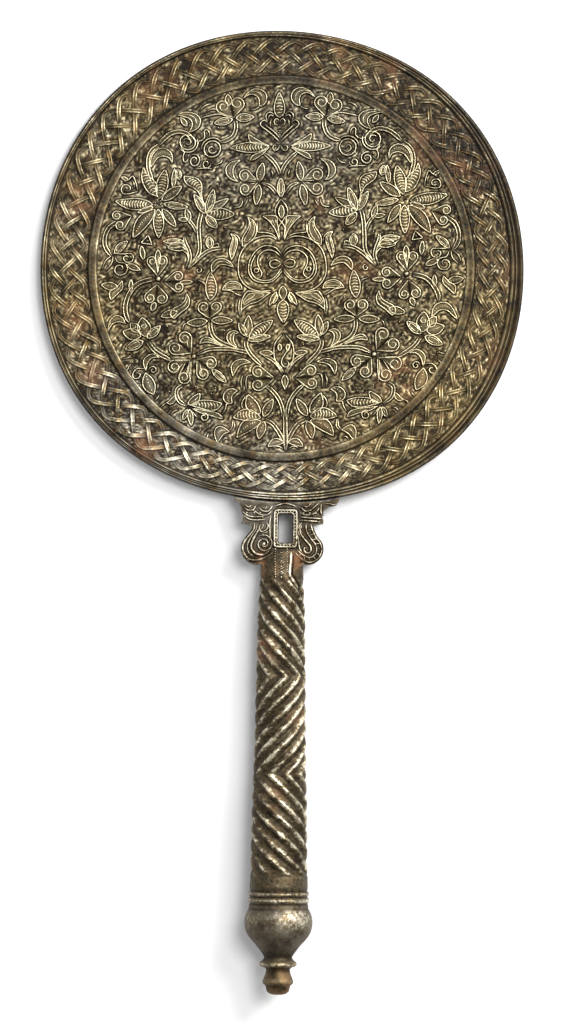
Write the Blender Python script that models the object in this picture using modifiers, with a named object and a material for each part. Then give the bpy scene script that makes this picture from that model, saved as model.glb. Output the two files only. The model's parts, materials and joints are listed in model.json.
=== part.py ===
"""Engraved steel hand mirror, lying with its carved back up.

Two forged pieces: a round plate whose back carries an arabesque inside a plaited
border, and a handle with a pierced scrolled head, a grip of reversing spiral flutes
and a turned pommel.  Everything is modelled flat in the mirror's own frame, in
millimetres: origin at the middle of the plate, +X right, +Y away from the handle,
+Z out of the carved back.  An empty then tips it into the pose it rests in.
"""
import math

import bmesh
import bpy
from mathutils import Matrix, Vector

MM = 0.001

# --- plate -------------------------------------------------------------------
RIM_RADIUS = 96.4
# the plate was never quite round: (lobes, swell in mm, direction of the swell in degrees)
RIM_SWELLS = ((1, 0.73, 64), (2, 1.34, -28), (3, 0.44, -104), (4, 0.86, 162))
RIM_STATIONS = 48
FACE_Z = -2.5            # polished mirror face, underneath
GROUND_Z = 0.8           # sunk ground of the carving
RING_INNER, RING_OUTER, RING_Z = 74.0, 77.2, 2.1
# plain bevelled rim outside the plait, wider on the right: mean width, then swells as above
MARGIN_MEAN = 3.3
MARGIN_SWELLS = ((1, 1.5, -20), (2, 0.46, -19))
EDGE_CHAMFER = 0.9

# --- plaited border ----------------------------------------------------------
PLAIT_REPEATS = 62
PLAIT_PHASE = -0.65      # degrees
STRAP_WIDTH = 2.2
STRAP_Z = 2.2
STRAP_INSET = 2.0        # strap centre line to the edge of the border
STRAP_GAP = 0.35         # between a strap and the one it passes under

# --- arabesque ---------------------------------------------------------------
PATTERN_TURN = 1.05      # degrees; the pattern leans a little to the left
PATTERN_SHIFT = 0.35
CARVING_Z = 1.8
STEM_WIDTH = 1.9
SUNK = 0.6               # how deep carved blocks root into the plate
ROUNDED_LEAF = 3.9       # leaves this wide have rounded sides, slimmer ones are four-cornered

# --- handle ------------------------------------------------------------------
HANDLE_X, HANDLE_Y, HANDLE_LEAN = 0.42, -92.5, -0.56   # where its axis meets the plate, degrees
JOINT_GAP = 0.3
HEAD_THICK = 7.0
HEAD_FOOT = -28.0
BLOCK_HALF, BLOCK_FOOT = 16.6, -9.8
EAR_TIPS = ((-19.9, 0.9), (23.2, 0.4))
EAR_DROP = 2.6
WAIST_HALF, WAIST_Y = 12.7, -11.0
SCROLL_X, SCROLL_Y, SCROLL_RADIUS = 10.2, -19.8, 6.3
SLOT_X, SLOT_Y, SLOT_HALF, SLOT_HALF_LENGTH = 1.3, -11.6, 2.9, 5.8
FRAME_WALL = 1.8
FRAME_Z, SCROLL_Z = 4.4, 4.9

GRIP_TOP, GRIP_FOOT = -20.0, -149.0
FLUTES = 9
FLUTE_DEPTH = 0.9
FLUTE_LEAD = 58.5        # length of one full turn
FLUTES_FROM, FLUTES_TURN, FLUTES_BACK, FLUTES_TO = -31.0, -70.6, -109.3, -147.5
FLUTE_STEP = 45.0        # degrees of twist between two stations
# (distance below the plate, radius) down the grip
GRIP_RADII = ((20, 8.4), (32, 8.8), (48, 9.6), (64, 9.8), (80, 10.1), (96, 10.3),
              (112, 10.7), (122, 11.0), (136, 11.25), (149, 11.5))
NECK_FLATNESS = 0.8

# (distance below the plate, radius) down the turned pommel
POMMEL = ((147.0, 11.6), (155.6, 11.6), (156.9, 12.3), (158.1, 11.6), (159.4, 12.4), (160.9, 11.7),
          (163.6, 12.5), (168.6, 13.74), (172.0, 13.1), (175.6, 10.6), (182.2, 5.5), (184.2, 7.4),
          (185.6, 7.4), (186.6, 4.7), (192.0, 6.3), (193.6, 4.8), (197.2, 2.8))
POMMEL_SEGMENTS = 16
BULB_S, BULB_RADIUS = 168.6, 13.74

# --- the design of the arabesque, right half, mirrored about its axis ---------
# flowers: centre x, y, hollow in the middle, then (direction in degrees, reach, width) of petals
FLOWERS = (
    (49.2, 27.0, 3.0, ((5, 16.7, 4.4), (70, 14.2, 5.2), (102, 13.8, 4.2), (145, 12.0, 3.4),
                       (254, 13.5, 3.4), (306, 16.5, 4.6))),
    (30.6, 23.3, 1.6, ((55, 9.0, 3.0), (88, 11.0, 3.6), (118, 10.5, 3.0), (182, 11.8, 3.6))),
    (56.0, -27.5, 2.0, ((88, 9.5, 5.0), (28, 9.5, 5.0), (134, 8.8, 3.0))),
    (9.2, -59.8, 2.0, ((113, 9.5, 3.4), (56, 11.3, 5.4), (11, 12.3, 4.4), (-29, 12.8, 3.6), (-77, 8.0, 3.0))),
    (14.8, -28.3, 1.0, ((97, 10.3, 3.0), (142, 11.3, 3.0))),
    (54.0, -41.8, 1.2, ((-108, 8.0, 4.4),)),
    (8.7, 34.6, 1.4, ((100, 10.5, 3.0),)),
)
# leaves: root x, y, tip x, y, width, bow to the left of the way it points
LEAVES = (
    (4.5, 49.2, 20.3, 48.6, 3.8, 0.0), (34.8, 16.4, 39.6, 22.8, 3.2, 0.1), (36.0, 3.0, 24.0, 8.8, 3.0, 0.2),
    (29.2, -11.6, 28.8, -1.4, 4.2, 0.0),
    (38.2, -9.4, 45.4, -20.0, 3.2, -0.18),
    (17.4, 11.2, 11.4, 20.4, 3.2, 0.08),
    (19.2, -1.5, 26.6, 3.8, 3.4, 0.2),
    (11.6, -10.6, 17.0, -14.8, 3.8, 0.12), (1.2, 11.6, 7.6, 21.0, 5.0, 0.08),
)
# leaves standing on the axis: root y, tip y, width
AXIS_LEAVES = ((62.2, 69.8, 4.4), (27.8, 35.6, 3.0), (26.2, 18.8, 5.2), (-12.4, -22.2, 4.6),
               (-39.6, -25.4, 7.2))
# hearts: point x, y, far end x, y, width
HEARTS = (
    (18.8, 61.4, 20.4, 68.8, 10.6), (9.9, 34.6, 17.6, 34.2, 10.6), (50.0, -1.6, 50.2, 6.6, 9.4),
    (47.9, -3.5, 38.9, -3.6, 9.2), (50.2, -5.4, 50.8, -13.4, 9.0), (37.2, -33.2, 44.0, -26.6, 9.6),
    (37.2, -36.4, 44.2, -43.4, 9.6), (34.6, -36.4, 27.8, -43.2, 9.6), (29.2, -19.2, 29.2, -12.2, 10.0),
    (4.4, -44.2, 13.6, -43.8, 10.0),
)
AXIS_HEART = (50.5, 61.6, 14.2)
# arched comma leaves: centre x, y, radius, from, to in degrees, width
ARCHES = (
    (10.0, 68.0, 3.8, 55, 300, 2.8), (38.0, 60.0, 4.6, 75, 325, 2.6), (47.4, 42.4, 4.4, 10, 165, 2.8),
    (16.3, 39.8, 5.0, -60, 85, 2.8), (16.6, -41.5, 4.8, -5, 105, 2.8),
    (20.3, -51.0, 3.9, -85, 110, 2.6), (65.6, -19.6, 4.9, -15, 200, 2.8),
)
# stems, as the points their middle line runs through
STEMS = (
    ((0.2, 37.2), (3.0, 42.4), (7.0, 46.8)),
    ((0.4, 27.2), (2.8, 32.0), (8.0, 34.7)),
    ((18.2, 59.4), (17.4, 55.0), (19.8, 51.8), (24.4, 50.2)),
    ((50.6, 48.4), (46.0, 54.0), (40.4, 55.0)),
    ((31.4, 21.8), (33.8, 14.0), (33.8, 8.0), (37.0, 2.0)),
    ((52.0, -3.2), (58.6, -5.0), (61.2, -10.6), (60.8, -17.4)),
    ((54.6, -29.4), (50.6, -33.4), (45.6, -35.8)),
    ((34.6, -33.8), (24.0, -31.8), (13.4, -35.2), (5.0, -43.2)),
    ((17.2, -32.8), (24.2, -29.0), (28.9, -21.4)),
    ((0.0, -56.6), (1.6, -52.0), (6.2, -46.4)),
    ((67.2, 5.0), (70.6, 10.4), (65.4, 18.0)),
)
TRUNK = ((0.0, -56.0), (0.0, -73.2))
# the two round lobes of the middle: place of the right one, then radius, top and corners of each step
LOBE_X, LOBE_Y = 6.7, 1.4
LOBE_STEPS = ((11.6, 1.4, 20), (7.3, 1.9, 12))


# --- scene and small helpers ---------------------------------------------------

def clear_scene():
    for thing in list(bpy.data.objects):
        bpy.data.objects.remove(thing, do_unlink=True)


def new_collection(name):
    group = bpy.data.collections.new(name)
    bpy.context.scene.collection.children.link(group)
    return group


def steel(name, colour, roughness, metallic):
    material = bpy.data.materials.new(name)
    material.use_nodes = True
    shader = material.node_tree.nodes["Principled BSDF"]
    shader.inputs["Base Color"].default_value = (*colour, 1.0)
    shader.inputs["Roughness"].default_value = roughness
    shader.inputs["Metallic"].default_value = metallic
    return material


def add_object(name, mesh, group):
    thing = bpy.data.objects.new(name, mesh)
    group.objects.link(thing)
    return thing


def block(name, outline, low, high, group):
    """A flat outline (mm) made into a block between two heights."""
    curve = bpy.data.curves.new(name, "CURVE")
    curve.dimensions = "2D"
    curve.fill_mode = "BOTH"
    curve.extrude = (high - low) / 2 * MM
    spline = curve.splines.new("POLY")
    spline.points.add(len(outline) - 1)
    for point, (x, y) in zip(spline.points, outline):
        point.co = (x * MM, y * MM, 0.0, 1.0)
    spline.use_cyclic_u = True
    guide = add_object(name + "_outline", curve, group)
    guide.location.z = (low + high) / 2 * MM
    bpy.context.view_layer.update()
    mesh = bpy.data.meshes.new_from_object(guide.evaluated_get(bpy.context.evaluated_depsgraph_get()))
    solid = bmesh.new()
    solid.from_mesh(mesh)
    bmesh.ops.transform(solid, matrix=guide.matrix_world, verts=solid.verts)
    bmesh.ops.remove_doubles(solid, verts=solid.verts, dist=0.00001)
    bmesh.ops.recalc_face_normals(solid, faces=solid.faces)
    bmesh.ops.dissolve_limit(solid, angle_limit=0.001, verts=solid.verts, edges=solid.edges)
    solid.to_mesh(mesh)
    solid.free()
    bpy.data.objects.remove(guide, do_unlink=True)
    cutter = add_object(name, mesh, group)
    cutter.hide_render = True
    cutter.display_type = "WIRE"
    return cutter


def loft(name, rings, group):
    """Closed body through rings of equal point counts, capped at both ends."""
    mesh = bpy.data.meshes.new(name)
    solid = bmesh.new()
    loops = [[solid.verts.new(Vector(point) * MM) for point in ring] for ring in rings]
    count = len(rings[0])
    for lower, upper in zip(loops, loops[1:]):
        for i in range(count):
            j = (i + 1) % count
            solid.faces.new((lower[i], lower[j], upper[j], upper[i]))
    solid.faces.new(loops[0][::-1])
    solid.faces.new(loops[-1])
    bmesh.ops.recalc_face_normals(solid, faces=solid.faces)
    solid.to_mesh(mesh)
    solid.free()
    return add_object(name, mesh, group)


def boolean(target, kind, tool=None, tools=None):
    step = target.modifiers.new(kind.lower(), "BOOLEAN")
    step.operation = kind
    step.solver = "EXACT"
    if tools:
        step.operand_type = "COLLECTION"
        step.collection = tools
    else:
        step.object = tool


def merge_flats(target):
    """Clear away the edges and points that joining leaves inside flat areas and along straight edges."""
    for _ in range(4):
        flats = target.modifiers.new("flats", "DECIMATE")
        flats.decimate_type = "DISSOLVE"
        flats.angle_limit = math.radians(0.2)
        target.modifiers.new("split", "TRIANGULATE")


def settle(target):
    """Keep the joined shape as the object's own mesh, so that it can be moved without its cutters."""
    bpy.context.view_layer.update()
    joined = bpy.data.meshes.new_from_object(target.evaluated_get(bpy.context.evaluated_depsgraph_get()))
    target.modifiers.clear()
    target.data = joined


# --- outlines ------------------------------------------------------------------

def swell(swells, turn):
    return sum(size * math.cos(lobes * turn - math.radians(way)) for lobes, size, way in swells)


def rim_radius(turn):
    """Radius of the plate's edge towards a direction in radians."""
    return RIM_RADIUS + swell(RIM_SWELLS, turn)


def border_radius(turn):
    """Outer edge of the plaited border, inside the bevelled rim."""
    return rim_radius(turn) - MARGIN_MEAN - swell(MARGIN_SWELLS, turn)


def pattern_point(x, y):
    """From the arabesque's own axes to the plate's."""
    turn = math.radians(PATTERN_TURN)
    x += PATTERN_SHIFT
    return (x * math.cos(turn) - y * math.sin(turn), x * math.sin(turn) + y * math.cos(turn))


def on_pattern(outline, side):
    placed = [pattern_point(side * x, y) for x, y in outline]
    return placed if side > 0 else placed[::-1]


def leaf(x0, y0, x1, y1, width, bow):
    """Pointed leaf from root to tip, bowed to one side."""
    stations = (0.3, 0.68) if width > ROUNDED_LEAF else (0.45,)
    along = Vector((x1 - x0, y1 - y0))
    across = Vector((-along.y, along.x)).normalized()
    root = Vector((x0, y0))

    def middle(t):
        return root + along * t + across * (bow * along.length * 4 * t * (1 - t))

    half = [width / 2 * math.sin(math.pi * t) ** 0.7 for t in stations]
    right = [middle(t) - across * h for t, h in zip(stations, half)]
    left = [middle(t) + across * h for t, h in zip(stations, half)]
    return [tuple(p) for p in [root, *right, root + along, *reversed(left)]]


def heart(x0, y0, x1, y1, width):
    """Heart from its point to its two lobes."""
    along = Vector((x1 - x0, y1 - y0))
    across = Vector((-along.y, along.x)).normalized() * width
    root = Vector((x0, y0))
    side = ((0.66, 0.50), (1.0, 0.30))
    right = [root + along * a - across * b for a, b in side]
    left = [root + along * a + across * b for a, b in reversed(side)]
    return [tuple(p) for p in [root, *right, root + along * 0.84, *left]]


def arch(x, y, radius, start, end, width):
    """Comma leaf bent round a centre, pointed at both ends."""
    stations = 4 if end - start > 200 else 2
    outer, inner = [], []
    for i in range(1, stations + 1):
        t = i / (stations + 1)
        turn = math.radians(start + (end - start) * t)
        half = width / 2 * math.sin(math.pi * t) ** 0.6
        outer.append((x + (radius + half) * math.cos(turn), y + (radius + half) * math.sin(turn)))
        inner.append((x + (radius - half) * math.cos(turn), y + (radius - half) * math.sin(turn)))
    tips = [(x + radius * math.cos(math.radians(a)), y + radius * math.sin(math.radians(a))) for a in (start, end)]
    return [tips[0], *outer, tips[1], *reversed(inner)]


def strip(line, width):
    """Band of even width along a line, with mitred bends."""
    line = [Vector(p) for p in line]
    right, left = [], []
    for i, point in enumerate(line):
        before = (point - line[max(i - 1, 0)]).normalized()
        after = (line[min(i + 1, len(line) - 1)] - point).normalized()
        way = (before + after).normalized()
        reach = width / 2 / max(way.dot(after if after.length else before), 0.4)
        across = Vector((-way.y, way.x)) * reach
        right.append(point - across)
        left.append(point + across)
    return [tuple(p) for p in right + left[::-1]]


# --- plate -----------------------------------------------------------------------

def plate_ring(radius_at, z):
    turns = [2 * math.pi * i / RIM_STATIONS for i in range(RIM_STATIONS)]
    return [(radius_at(t) * math.cos(t), radius_at(t) * math.sin(t), z) for t in turns]


def plate_body(group):
    border_z = GROUND_Z + 1.2
    rings = (
        plate_ring(lambda t: rim_radius(t) - EDGE_CHAMFER, FACE_Z),
        plate_ring(rim_radius, FACE_Z + EDGE_CHAMFER),
        plate_ring(rim_radius, GROUND_Z),
        plate_ring(lambda t: border_radius(t) + 0.3, border_z),
        plate_ring(border_radius, GROUND_Z),
    )
    return loft("mirror_disc", rings, group)


def turned(name, outline, segments, group):
    """Body spun about the Y axis from (radius, height) points in mm."""
    mesh = bpy.data.meshes.new(name)
    profile = bmesh.new()
    points = [profile.verts.new((r * MM, y * MM, 0.0)) for r, y in outline]
    for a, b in zip(points, points[1:]):
        profile.edges.new((a, b))
    if outline[0][0] > 0.0:
        profile.edges.new((points[-1], points[0]))
    profile.to_mesh(mesh)
    profile.free()
    body = add_object(name, mesh, group)
    screw = body.modifiers.new("turning", "SCREW")
    screw.axis = "Y"
    screw.steps = segments
    screw.render_steps = segments
    screw.use_merge_vertices = True
    screw.merge_threshold = 0.00001
    screw.use_normal_calculate = True
    body.hide_render = True
    body.display_type = "WIRE"
    return body


def carve_ring(group):
    """Flat raised ring between the arabesque and the plait."""
    root = GROUND_Z - SUNK
    section = ((RING_INNER, root), (RING_OUTER, root), (RING_OUTER, GROUND_Z),
               (RING_OUTER - 0.3, RING_Z), (RING_INNER + 0.3, RING_Z), (RING_INNER, GROUND_Z))
    ring = turned("raised_ring", section, RIM_STATIONS, group)
    ring.rotation_euler.x = math.pi / 2


def plait_point(repeat, u, v):
    """Place in the border: u in repeats along it, v from its inner to its outer edge."""
    turn = 2 * math.pi * (repeat + u) / PLAIT_REPEATS + math.radians(PLAIT_PHASE)
    inner = RING_OUTER + STRAP_INSET
    outer = border_radius(turn) - STRAP_INSET
    radius = inner + (outer - inner) * v
    return (radius * math.cos(turn), radius * math.sin(turn))


def carve_plait(group):
    """What shows of four strands going over and under: a bar and two hooks for each repeat.

    Strands climb half the border's width in one repeat, so every strap ends along the edge
    of the strap that crosses it.
    """
    for repeat in range(PLAIT_REPEATS):
        low, high, beside = (Vector(plait_point(repeat, *place)) for place in ((0, 0), (0, 1), (1, 0)))
        along, across = (beside - low).length, (high - low).length
        slant = math.hypot(along, across / 2)
        half = STRAP_WIDTH / 2 * slant / (along * across)
        end = half + STRAP_GAP / slant
        bar_end = 0.5 - end
        bar = [(a * bar_end + b * half, 0.5 + (a * bar_end - b * half) / 2)
               for a, b in ((-1, -1), (1, -1), (1, 1), (-1, 1))]
        hook = [(1 - end + half, 0.5 + (end + half) / 2), (0, 1 + half),
                (-bar_end - half, 1 - (bar_end - half) / 2), (-bar_end + half, 1 - (bar_end + half) / 2),
                (0, 1 - half), (1 - end - half, 0.5 + (end - half) / 2)]
        turned_hook = [(-u, 1 - v) for u, v in hook]
        for i, shape in enumerate((bar, hook, turned_hook)):
            outline = [plait_point(repeat, u, v) for u, v in shape]
            block(f"strap_{repeat}_{i}", outline, GROUND_Z - SUNK, STRAP_Z, group)


def carve_arabesque(group):
    """Every main form of the arabesque as a block rooted in the ground."""
    outlines = []
    for x, y, hollow, petals in FLOWERS:
        for way, reach, width in petals:
            c, s = math.cos(math.radians(way)), math.sin(math.radians(way))
            petal = leaf(x + hollow * c, y + hollow * s, x + reach * c, y + reach * s, width, 0.0)
            outlines.append(petal)
    outlines += [leaf(*row) for row in LEAVES] + [heart(*row) for row in HEARTS]
    outlines += [arch(*row) for row in ARCHES] + [strip(row, STEM_WIDTH) for row in STEMS]
    axis = [leaf(0, y0, 0, y1, width, 0.0) for y0, y1, width in AXIS_LEAVES]
    low, high, width = AXIS_HEART
    axis += [heart(0, low, 0, high, width), strip(TRUNK, STEM_WIDTH)]
    placed = [on_pattern(outline, side) for outline in outlines for side in (1, -1)]
    placed += [on_pattern(outline, 1) for outline in axis]
    for i, outline in enumerate(placed):
        block(f"carving_{i}", outline, GROUND_Z - SUNK, CARVING_Z, group)


def carve_lobes(group):
    for radius, top, corners in LOBE_STEPS:
        for side in (1, -1):
            turns = [2 * math.pi * i / corners for i in range(corners)]
            circle = [(LOBE_X + radius * math.cos(t), LOBE_Y + radius * math.sin(t)) for t in turns]
            block(f"lobe_{radius}_{side}", on_pattern(circle, side), GROUND_Z - SUNK, top, group)


def mirror_disc(parts):
    cutters = new_collection("plate_carving")
    body = plate_body(parts)
    carve_ring(cutters)
    carve_plait(cutters)
    carve_arabesque(cutters)
    carve_lobes(cutters)
    boolean(body, "UNION", tools=cutters)
    merge_flats(body)
    settle(body)
    body.data.materials.append(steel("carved_steel", (0.36, 0.33, 0.28), 0.45, 0.9))
    return body


# --- handle ----------------------------------------------------------------------

def interpolate(table, s):
    for (s0, r0), (s1, r1) in zip(table, table[1:]):
        if s <= s1:
            return r0 + (r1 - r0) * (s - s0) / (s1 - s0)
    return table[-1][1]


def rim_seat(x):
    """Height of the plate's edge above the handle's own origin, less the joint gap."""
    lean = math.radians(HANDLE_LEAN)
    for _ in range(2):
        turn = math.atan2(HANDLE_Y, HANDLE_X + x)
    edge = rim_radius(turn)
    y = -math.sqrt(edge ** 2 - (HANDLE_X + x) ** 2) - HANDLE_Y
    return y - x * math.tan(lean) - JOINT_GAP


def head_outline():
    """Seat against the plate, hooked ears, moulded block, waist and the two scrolls."""
    left_tip, right_tip = EAR_TIPS
    seat = [(left_tip[0] + (right_tip[0] - left_tip[0]) * i / 6) for i in range(7)]
    outline = [(x, rim_seat(x)) for x in reversed(seat)]

    def side_down(sign, tip_x):
        ear = [(tip_x - sign * 0.4, rim_seat(tip_x) - 1.6), (sign * (BLOCK_HALF + 1.4), -EAR_DROP - 0.4)]
        cove = [(sign * (BLOCK_HALF - 0.4), -4.6), (sign * BLOCK_HALF, BLOCK_FOOT)]
        waist = [(sign * WAIST_HALF, WAIST_Y), (sign * (WAIST_HALF + 0.6), WAIST_Y - 2.2)]
        turns = [math.radians(a) for a in (50, 20, -15, -55, -100)]
        scroll = [(sign * (SCROLL_X + SCROLL_RADIUS * math.cos(t)), SCROLL_Y + SCROLL_RADIUS * math.sin(t))
                  for t in turns]
        return ear + cove + waist + scroll

    left = side_down(-1, left_tip[0])
    right = side_down(1, right_tip[0])
    return outline + left + [(-7.0, HEAD_FOOT), (7.0, HEAD_FOOT)] + right[::-1]


def circle(x, y, radius, corners):
    turns = [2 * math.pi * i / corners for i in range(corners)]
    return [(x + radius * math.cos(t), y + radius * math.sin(t)) for t in turns]


def rounded_slot(half, half_length, corner):
    """Rectangle about the slot's middle with its corners cut."""
    quarter = ((half, half_length - corner), (half - corner, half_length))
    signs = ((1, 1), (-1, 1), (-1, -1), (1, -1))
    outline = []
    for sx, sy in signs:
        pair = quarter if sx * sy > 0 else quarter[::-1]
        outline += [(SLOT_X + sx * x, SLOT_Y + sy * y) for x, y in pair]
    return outline


def twist_at(y):
    """Turn of the flutes in degrees: it runs one way, back, and the first way again."""
    rate = 360.0 / FLUTE_LEAD
    first = FLUTES_FROM - max(min(y, FLUTES_FROM), FLUTES_TURN)
    second = FLUTES_TURN - max(min(y, FLUTES_TURN), FLUTES_BACK)
    third = FLUTES_BACK - max(min(y, FLUTES_BACK), FLUTES_TO)
    return rate * (first - second + third)


def grip_stations():
    """Heights of the grip's sections: closer where the flutes twist."""
    heights = [GRIP_TOP, (GRIP_TOP + FLUTES_FROM) / 2]
    zones = ((FLUTES_FROM, FLUTES_TURN), (FLUTES_TURN, FLUTES_BACK), (FLUTES_BACK, FLUTES_TO))
    for top, foot in zones:
        count = round((top - foot) / FLUTE_LEAD * 360 / FLUTE_STEP)
        heights += [top + (foot - top) * i / count for i in range(count)]
    return heights + [FLUTES_TO, GRIP_FOOT]


def grip_body(group):
    points = 2 * FLUTES
    rings = []
    for y in grip_stations():
        radius = interpolate(GRIP_RADII, -y)
        plain = y > FLUTES_FROM + 0.1 or y < FLUTES_TO + 0.1
        flat = NECK_FLATNESS if y > FLUTES_FROM + 0.1 else 1.0
        ring = []
        for i in range(points):
            turn = math.radians(360 * i / points - twist_at(y))
            r = radius - (0.0 if plain or i % 2 == 0 else FLUTE_DEPTH)
            ring.append((r * math.cos(turn), y, r * math.sin(turn) * flat))
        rings.append(ring)
    return loft("handle_grip", rings, group)


def pommel_body(group):
    """Turned rings, bulb, flange and knob, from a profile spun about the handle's axis."""
    outline = [(0.0, -POMMEL[0][0]), *((r, -s) for s, r in POMMEL), (0.0, -POMMEL[-1][0])]
    return turned("handle_pommel", outline, POMMEL_SEGMENTS, group)


def handle(parts):
    cutters = new_collection("handle_forms")
    half = HEAD_THICK / 2
    head = block("handle", head_outline(), -half, half, parts)
    head.hide_render = False
    head.display_type = "TEXTURED"
    forms = new_collection("handle_raised")
    for side in (-1, 1):
        block(f"scroll_{side}", circle(side * SCROLL_X, SCROLL_Y, SCROLL_RADIUS - 0.8, 10),
              -half - 0.8, SCROLL_Z - 0.6, forms)
        block(f"scroll_eye_{side}", circle(side * (SCROLL_X - 0.8), SCROLL_Y + 0.4, SCROLL_RADIUS - 3.2, 8),
              0.0, SCROLL_Z, forms)
    block("slot_frame", rounded_slot(SLOT_HALF + FRAME_WALL, SLOT_HALF_LENGTH + FRAME_WALL, 0.8),
          -FRAME_Z, FRAME_Z, forms)
    pommel_body(forms)
    grip = grip_body(forms)
    grip.hide_render = True
    grip.display_type = "WIRE"
    boolean(head, "UNION", tools=forms)
    slot = block("slot", rounded_slot(SLOT_HALF, SLOT_HALF_LENGTH, 1.0), -12.0, 12.0, cutters)
    boolean(head, "DIFFERENCE", tool=slot)
    merge_flats(head)
    settle(head)
    head.data.materials.append(steel("forged_steel", (0.30, 0.27, 0.23), 0.4, 0.9))
    return head


# --- resting pose -------------------------------------------------------------------

def world_bounds(things):
    depsgraph = bpy.context.evaluated_depsgraph_get()
    corners = []
    for thing in things:
        shown = thing.evaluated_get(depsgraph)
        corners += [shown.matrix_world @ vertex.co for vertex in shown.data.vertices]
    low = Vector([min(c[k] for c in corners) for k in range(3)])
    high = Vector([max(c[k] for c in corners) for k in range(3)])
    return low, high


def lay_down(things):
    """Rest on the far edge of the plate and the underside of the bulb, centred on the origin."""
    reach = RIM_RADIUS - EDGE_CHAMFER - HANDLE_Y + BULB_S
    tilt = math.asin((BULB_RADIUS + FACE_Z) / reach)
    rest = bpy.data.objects.new("resting_pose", None)
    bpy.context.scene.collection.objects.link(rest)
    rest.rotation_euler = (-tilt, 0.0, 0.0)
    for thing in things:
        thing.parent = rest
    bpy.context.view_layer.update()
    low, high = world_bounds(things)
    rest.location = (-(low.x + high.x) / 2, -(low.y + high.y) / 2, -low.z)
    bpy.context.view_layer.update()


def build():
    clear_scene()
    parts = new_collection("steel_hand_mirror")
    disc = mirror_disc(parts)
    grip = handle(parts)
    grip.matrix_world = Matrix.Translation(Vector((HANDLE_X, HANDLE_Y, 0.0)) * MM) @ Matrix.Rotation(
        math.radians(HANDLE_LEAN), 4, "Z")
    lay_down([disc, grip])


build()
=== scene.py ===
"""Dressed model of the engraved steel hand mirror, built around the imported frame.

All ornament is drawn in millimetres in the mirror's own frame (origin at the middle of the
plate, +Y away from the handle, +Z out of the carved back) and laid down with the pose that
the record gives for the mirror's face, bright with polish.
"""
import json
import math

import bmesh
import bpy
import numpy as np
from mathutils import Matrix, Vector
from mathutils.kdtree import KDTree


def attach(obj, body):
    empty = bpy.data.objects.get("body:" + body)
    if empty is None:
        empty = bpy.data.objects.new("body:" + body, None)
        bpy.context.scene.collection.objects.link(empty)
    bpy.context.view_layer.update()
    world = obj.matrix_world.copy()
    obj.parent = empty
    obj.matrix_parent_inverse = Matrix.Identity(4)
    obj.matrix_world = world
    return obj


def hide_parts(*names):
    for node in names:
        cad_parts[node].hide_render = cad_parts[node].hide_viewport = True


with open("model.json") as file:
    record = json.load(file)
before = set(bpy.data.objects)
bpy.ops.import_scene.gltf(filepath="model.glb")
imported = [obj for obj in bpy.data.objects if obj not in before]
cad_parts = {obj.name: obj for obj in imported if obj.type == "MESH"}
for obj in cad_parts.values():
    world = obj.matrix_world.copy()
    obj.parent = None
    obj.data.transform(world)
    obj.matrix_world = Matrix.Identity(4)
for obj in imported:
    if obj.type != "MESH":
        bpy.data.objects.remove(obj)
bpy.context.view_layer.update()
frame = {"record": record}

MM = 0.001
TAU = 2 * math.pi

# --- the pose, from the record's polished face -------------------------------------
face = frame["record"]["mounts"][0]
FACE_Z = -2.5
REST_TURN = Matrix.Rotation(math.atan2(face["axis"][1], -face["axis"][2]), 4, "X")
PLATE_POSE = Matrix.Translation(face["pos_m"]) @ REST_TURN @ Matrix.Translation((0, 0, -FACE_Z * MM))
HANDLE_X, HANDLE_Y, HANDLE_LEAN = 0.42, -92.5, math.radians(-0.56)
HANDLE_POSE = (PLATE_POSE @ Matrix.Translation((HANDLE_X * MM, HANDLE_Y * MM, 0))
               @ Matrix.Rotation(HANDLE_LEAN, 4, "Z"))

# --- plate sizes, as the solids have them -------------------------------------------
RIM_RADIUS = 96.25
RIM_SWELLS = ((1, 0.73, 64), (2, 1.34, -28), (3, 0.44, -104), (4, 0.86, 162))
MARGIN_MEAN = 3.3
MARGIN_SWELLS = ((1, 1.5, -20), (2, 0.46, -19))
GROUND_Z = 0.8
RING_INNER, RING_OUTER, RING_Z = 74.0, 77.2, 2.1
PLAIT_REPEATS, PLAIT_PHASE = 62, math.radians(-0.65)
STRAP_INSET = 1.7
PATTERN_TURN, PATTERN_SHIFT = math.radians(1.05), 0.35


def swell(swells, turn):
    return sum(size * np.cos(lobes * turn - math.radians(way)) for lobes, size, way in swells)


def rim_radius(turn):
    return RIM_RADIUS + swell(RIM_SWELLS, turn)


def border_radius(turn):
    return rim_radius(turn) - MARGIN_MEAN - swell(MARGIN_SWELLS, turn)


def polar(radius, turn):
    return np.stack([radius * np.cos(turn), radius * np.sin(turn)], axis=-1)

# --- patina and painted shade, as soft patches over the mirror's plan ---------------
# each row: x, y and reach of a patch in mm, then its strength
RUST = ((63, 51, 12, 0.6), (76, 38, 10, 0.55), (13, 26, 5, 0.5), (55, 18, 7, 0.4), (-47, 13, 6, 0.35),
        (-37, -4, 6, 0.4), (-28, -6, 5, 0.45), (30, -2, 9, 0.25), (48, -44, 10, 0.45), (-15, -61, 9, 0.3),
        (12, -66, 8, 0.25), (-80, 28, 9, 0.5), (-84, -20, 8, 0.4), (-76, -42, 6, 0.5), (-55, -72, 6, 0.55),
        (20, 85, 12, 0.35), (46, 78, 9, 0.45), (-50, 72, 10, 0.3), (88, 0, 7, 0.4), (82, -36, 8, 0.35),
        (-6, -118, 6, 0.9), (7, -117, 4, 0.9), (-7, -152, 5, 0.7), (2, -286, 8, 0.5), (-4, -210, 6, 0.3),
        (5, -178, 5, 0.3))
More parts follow.
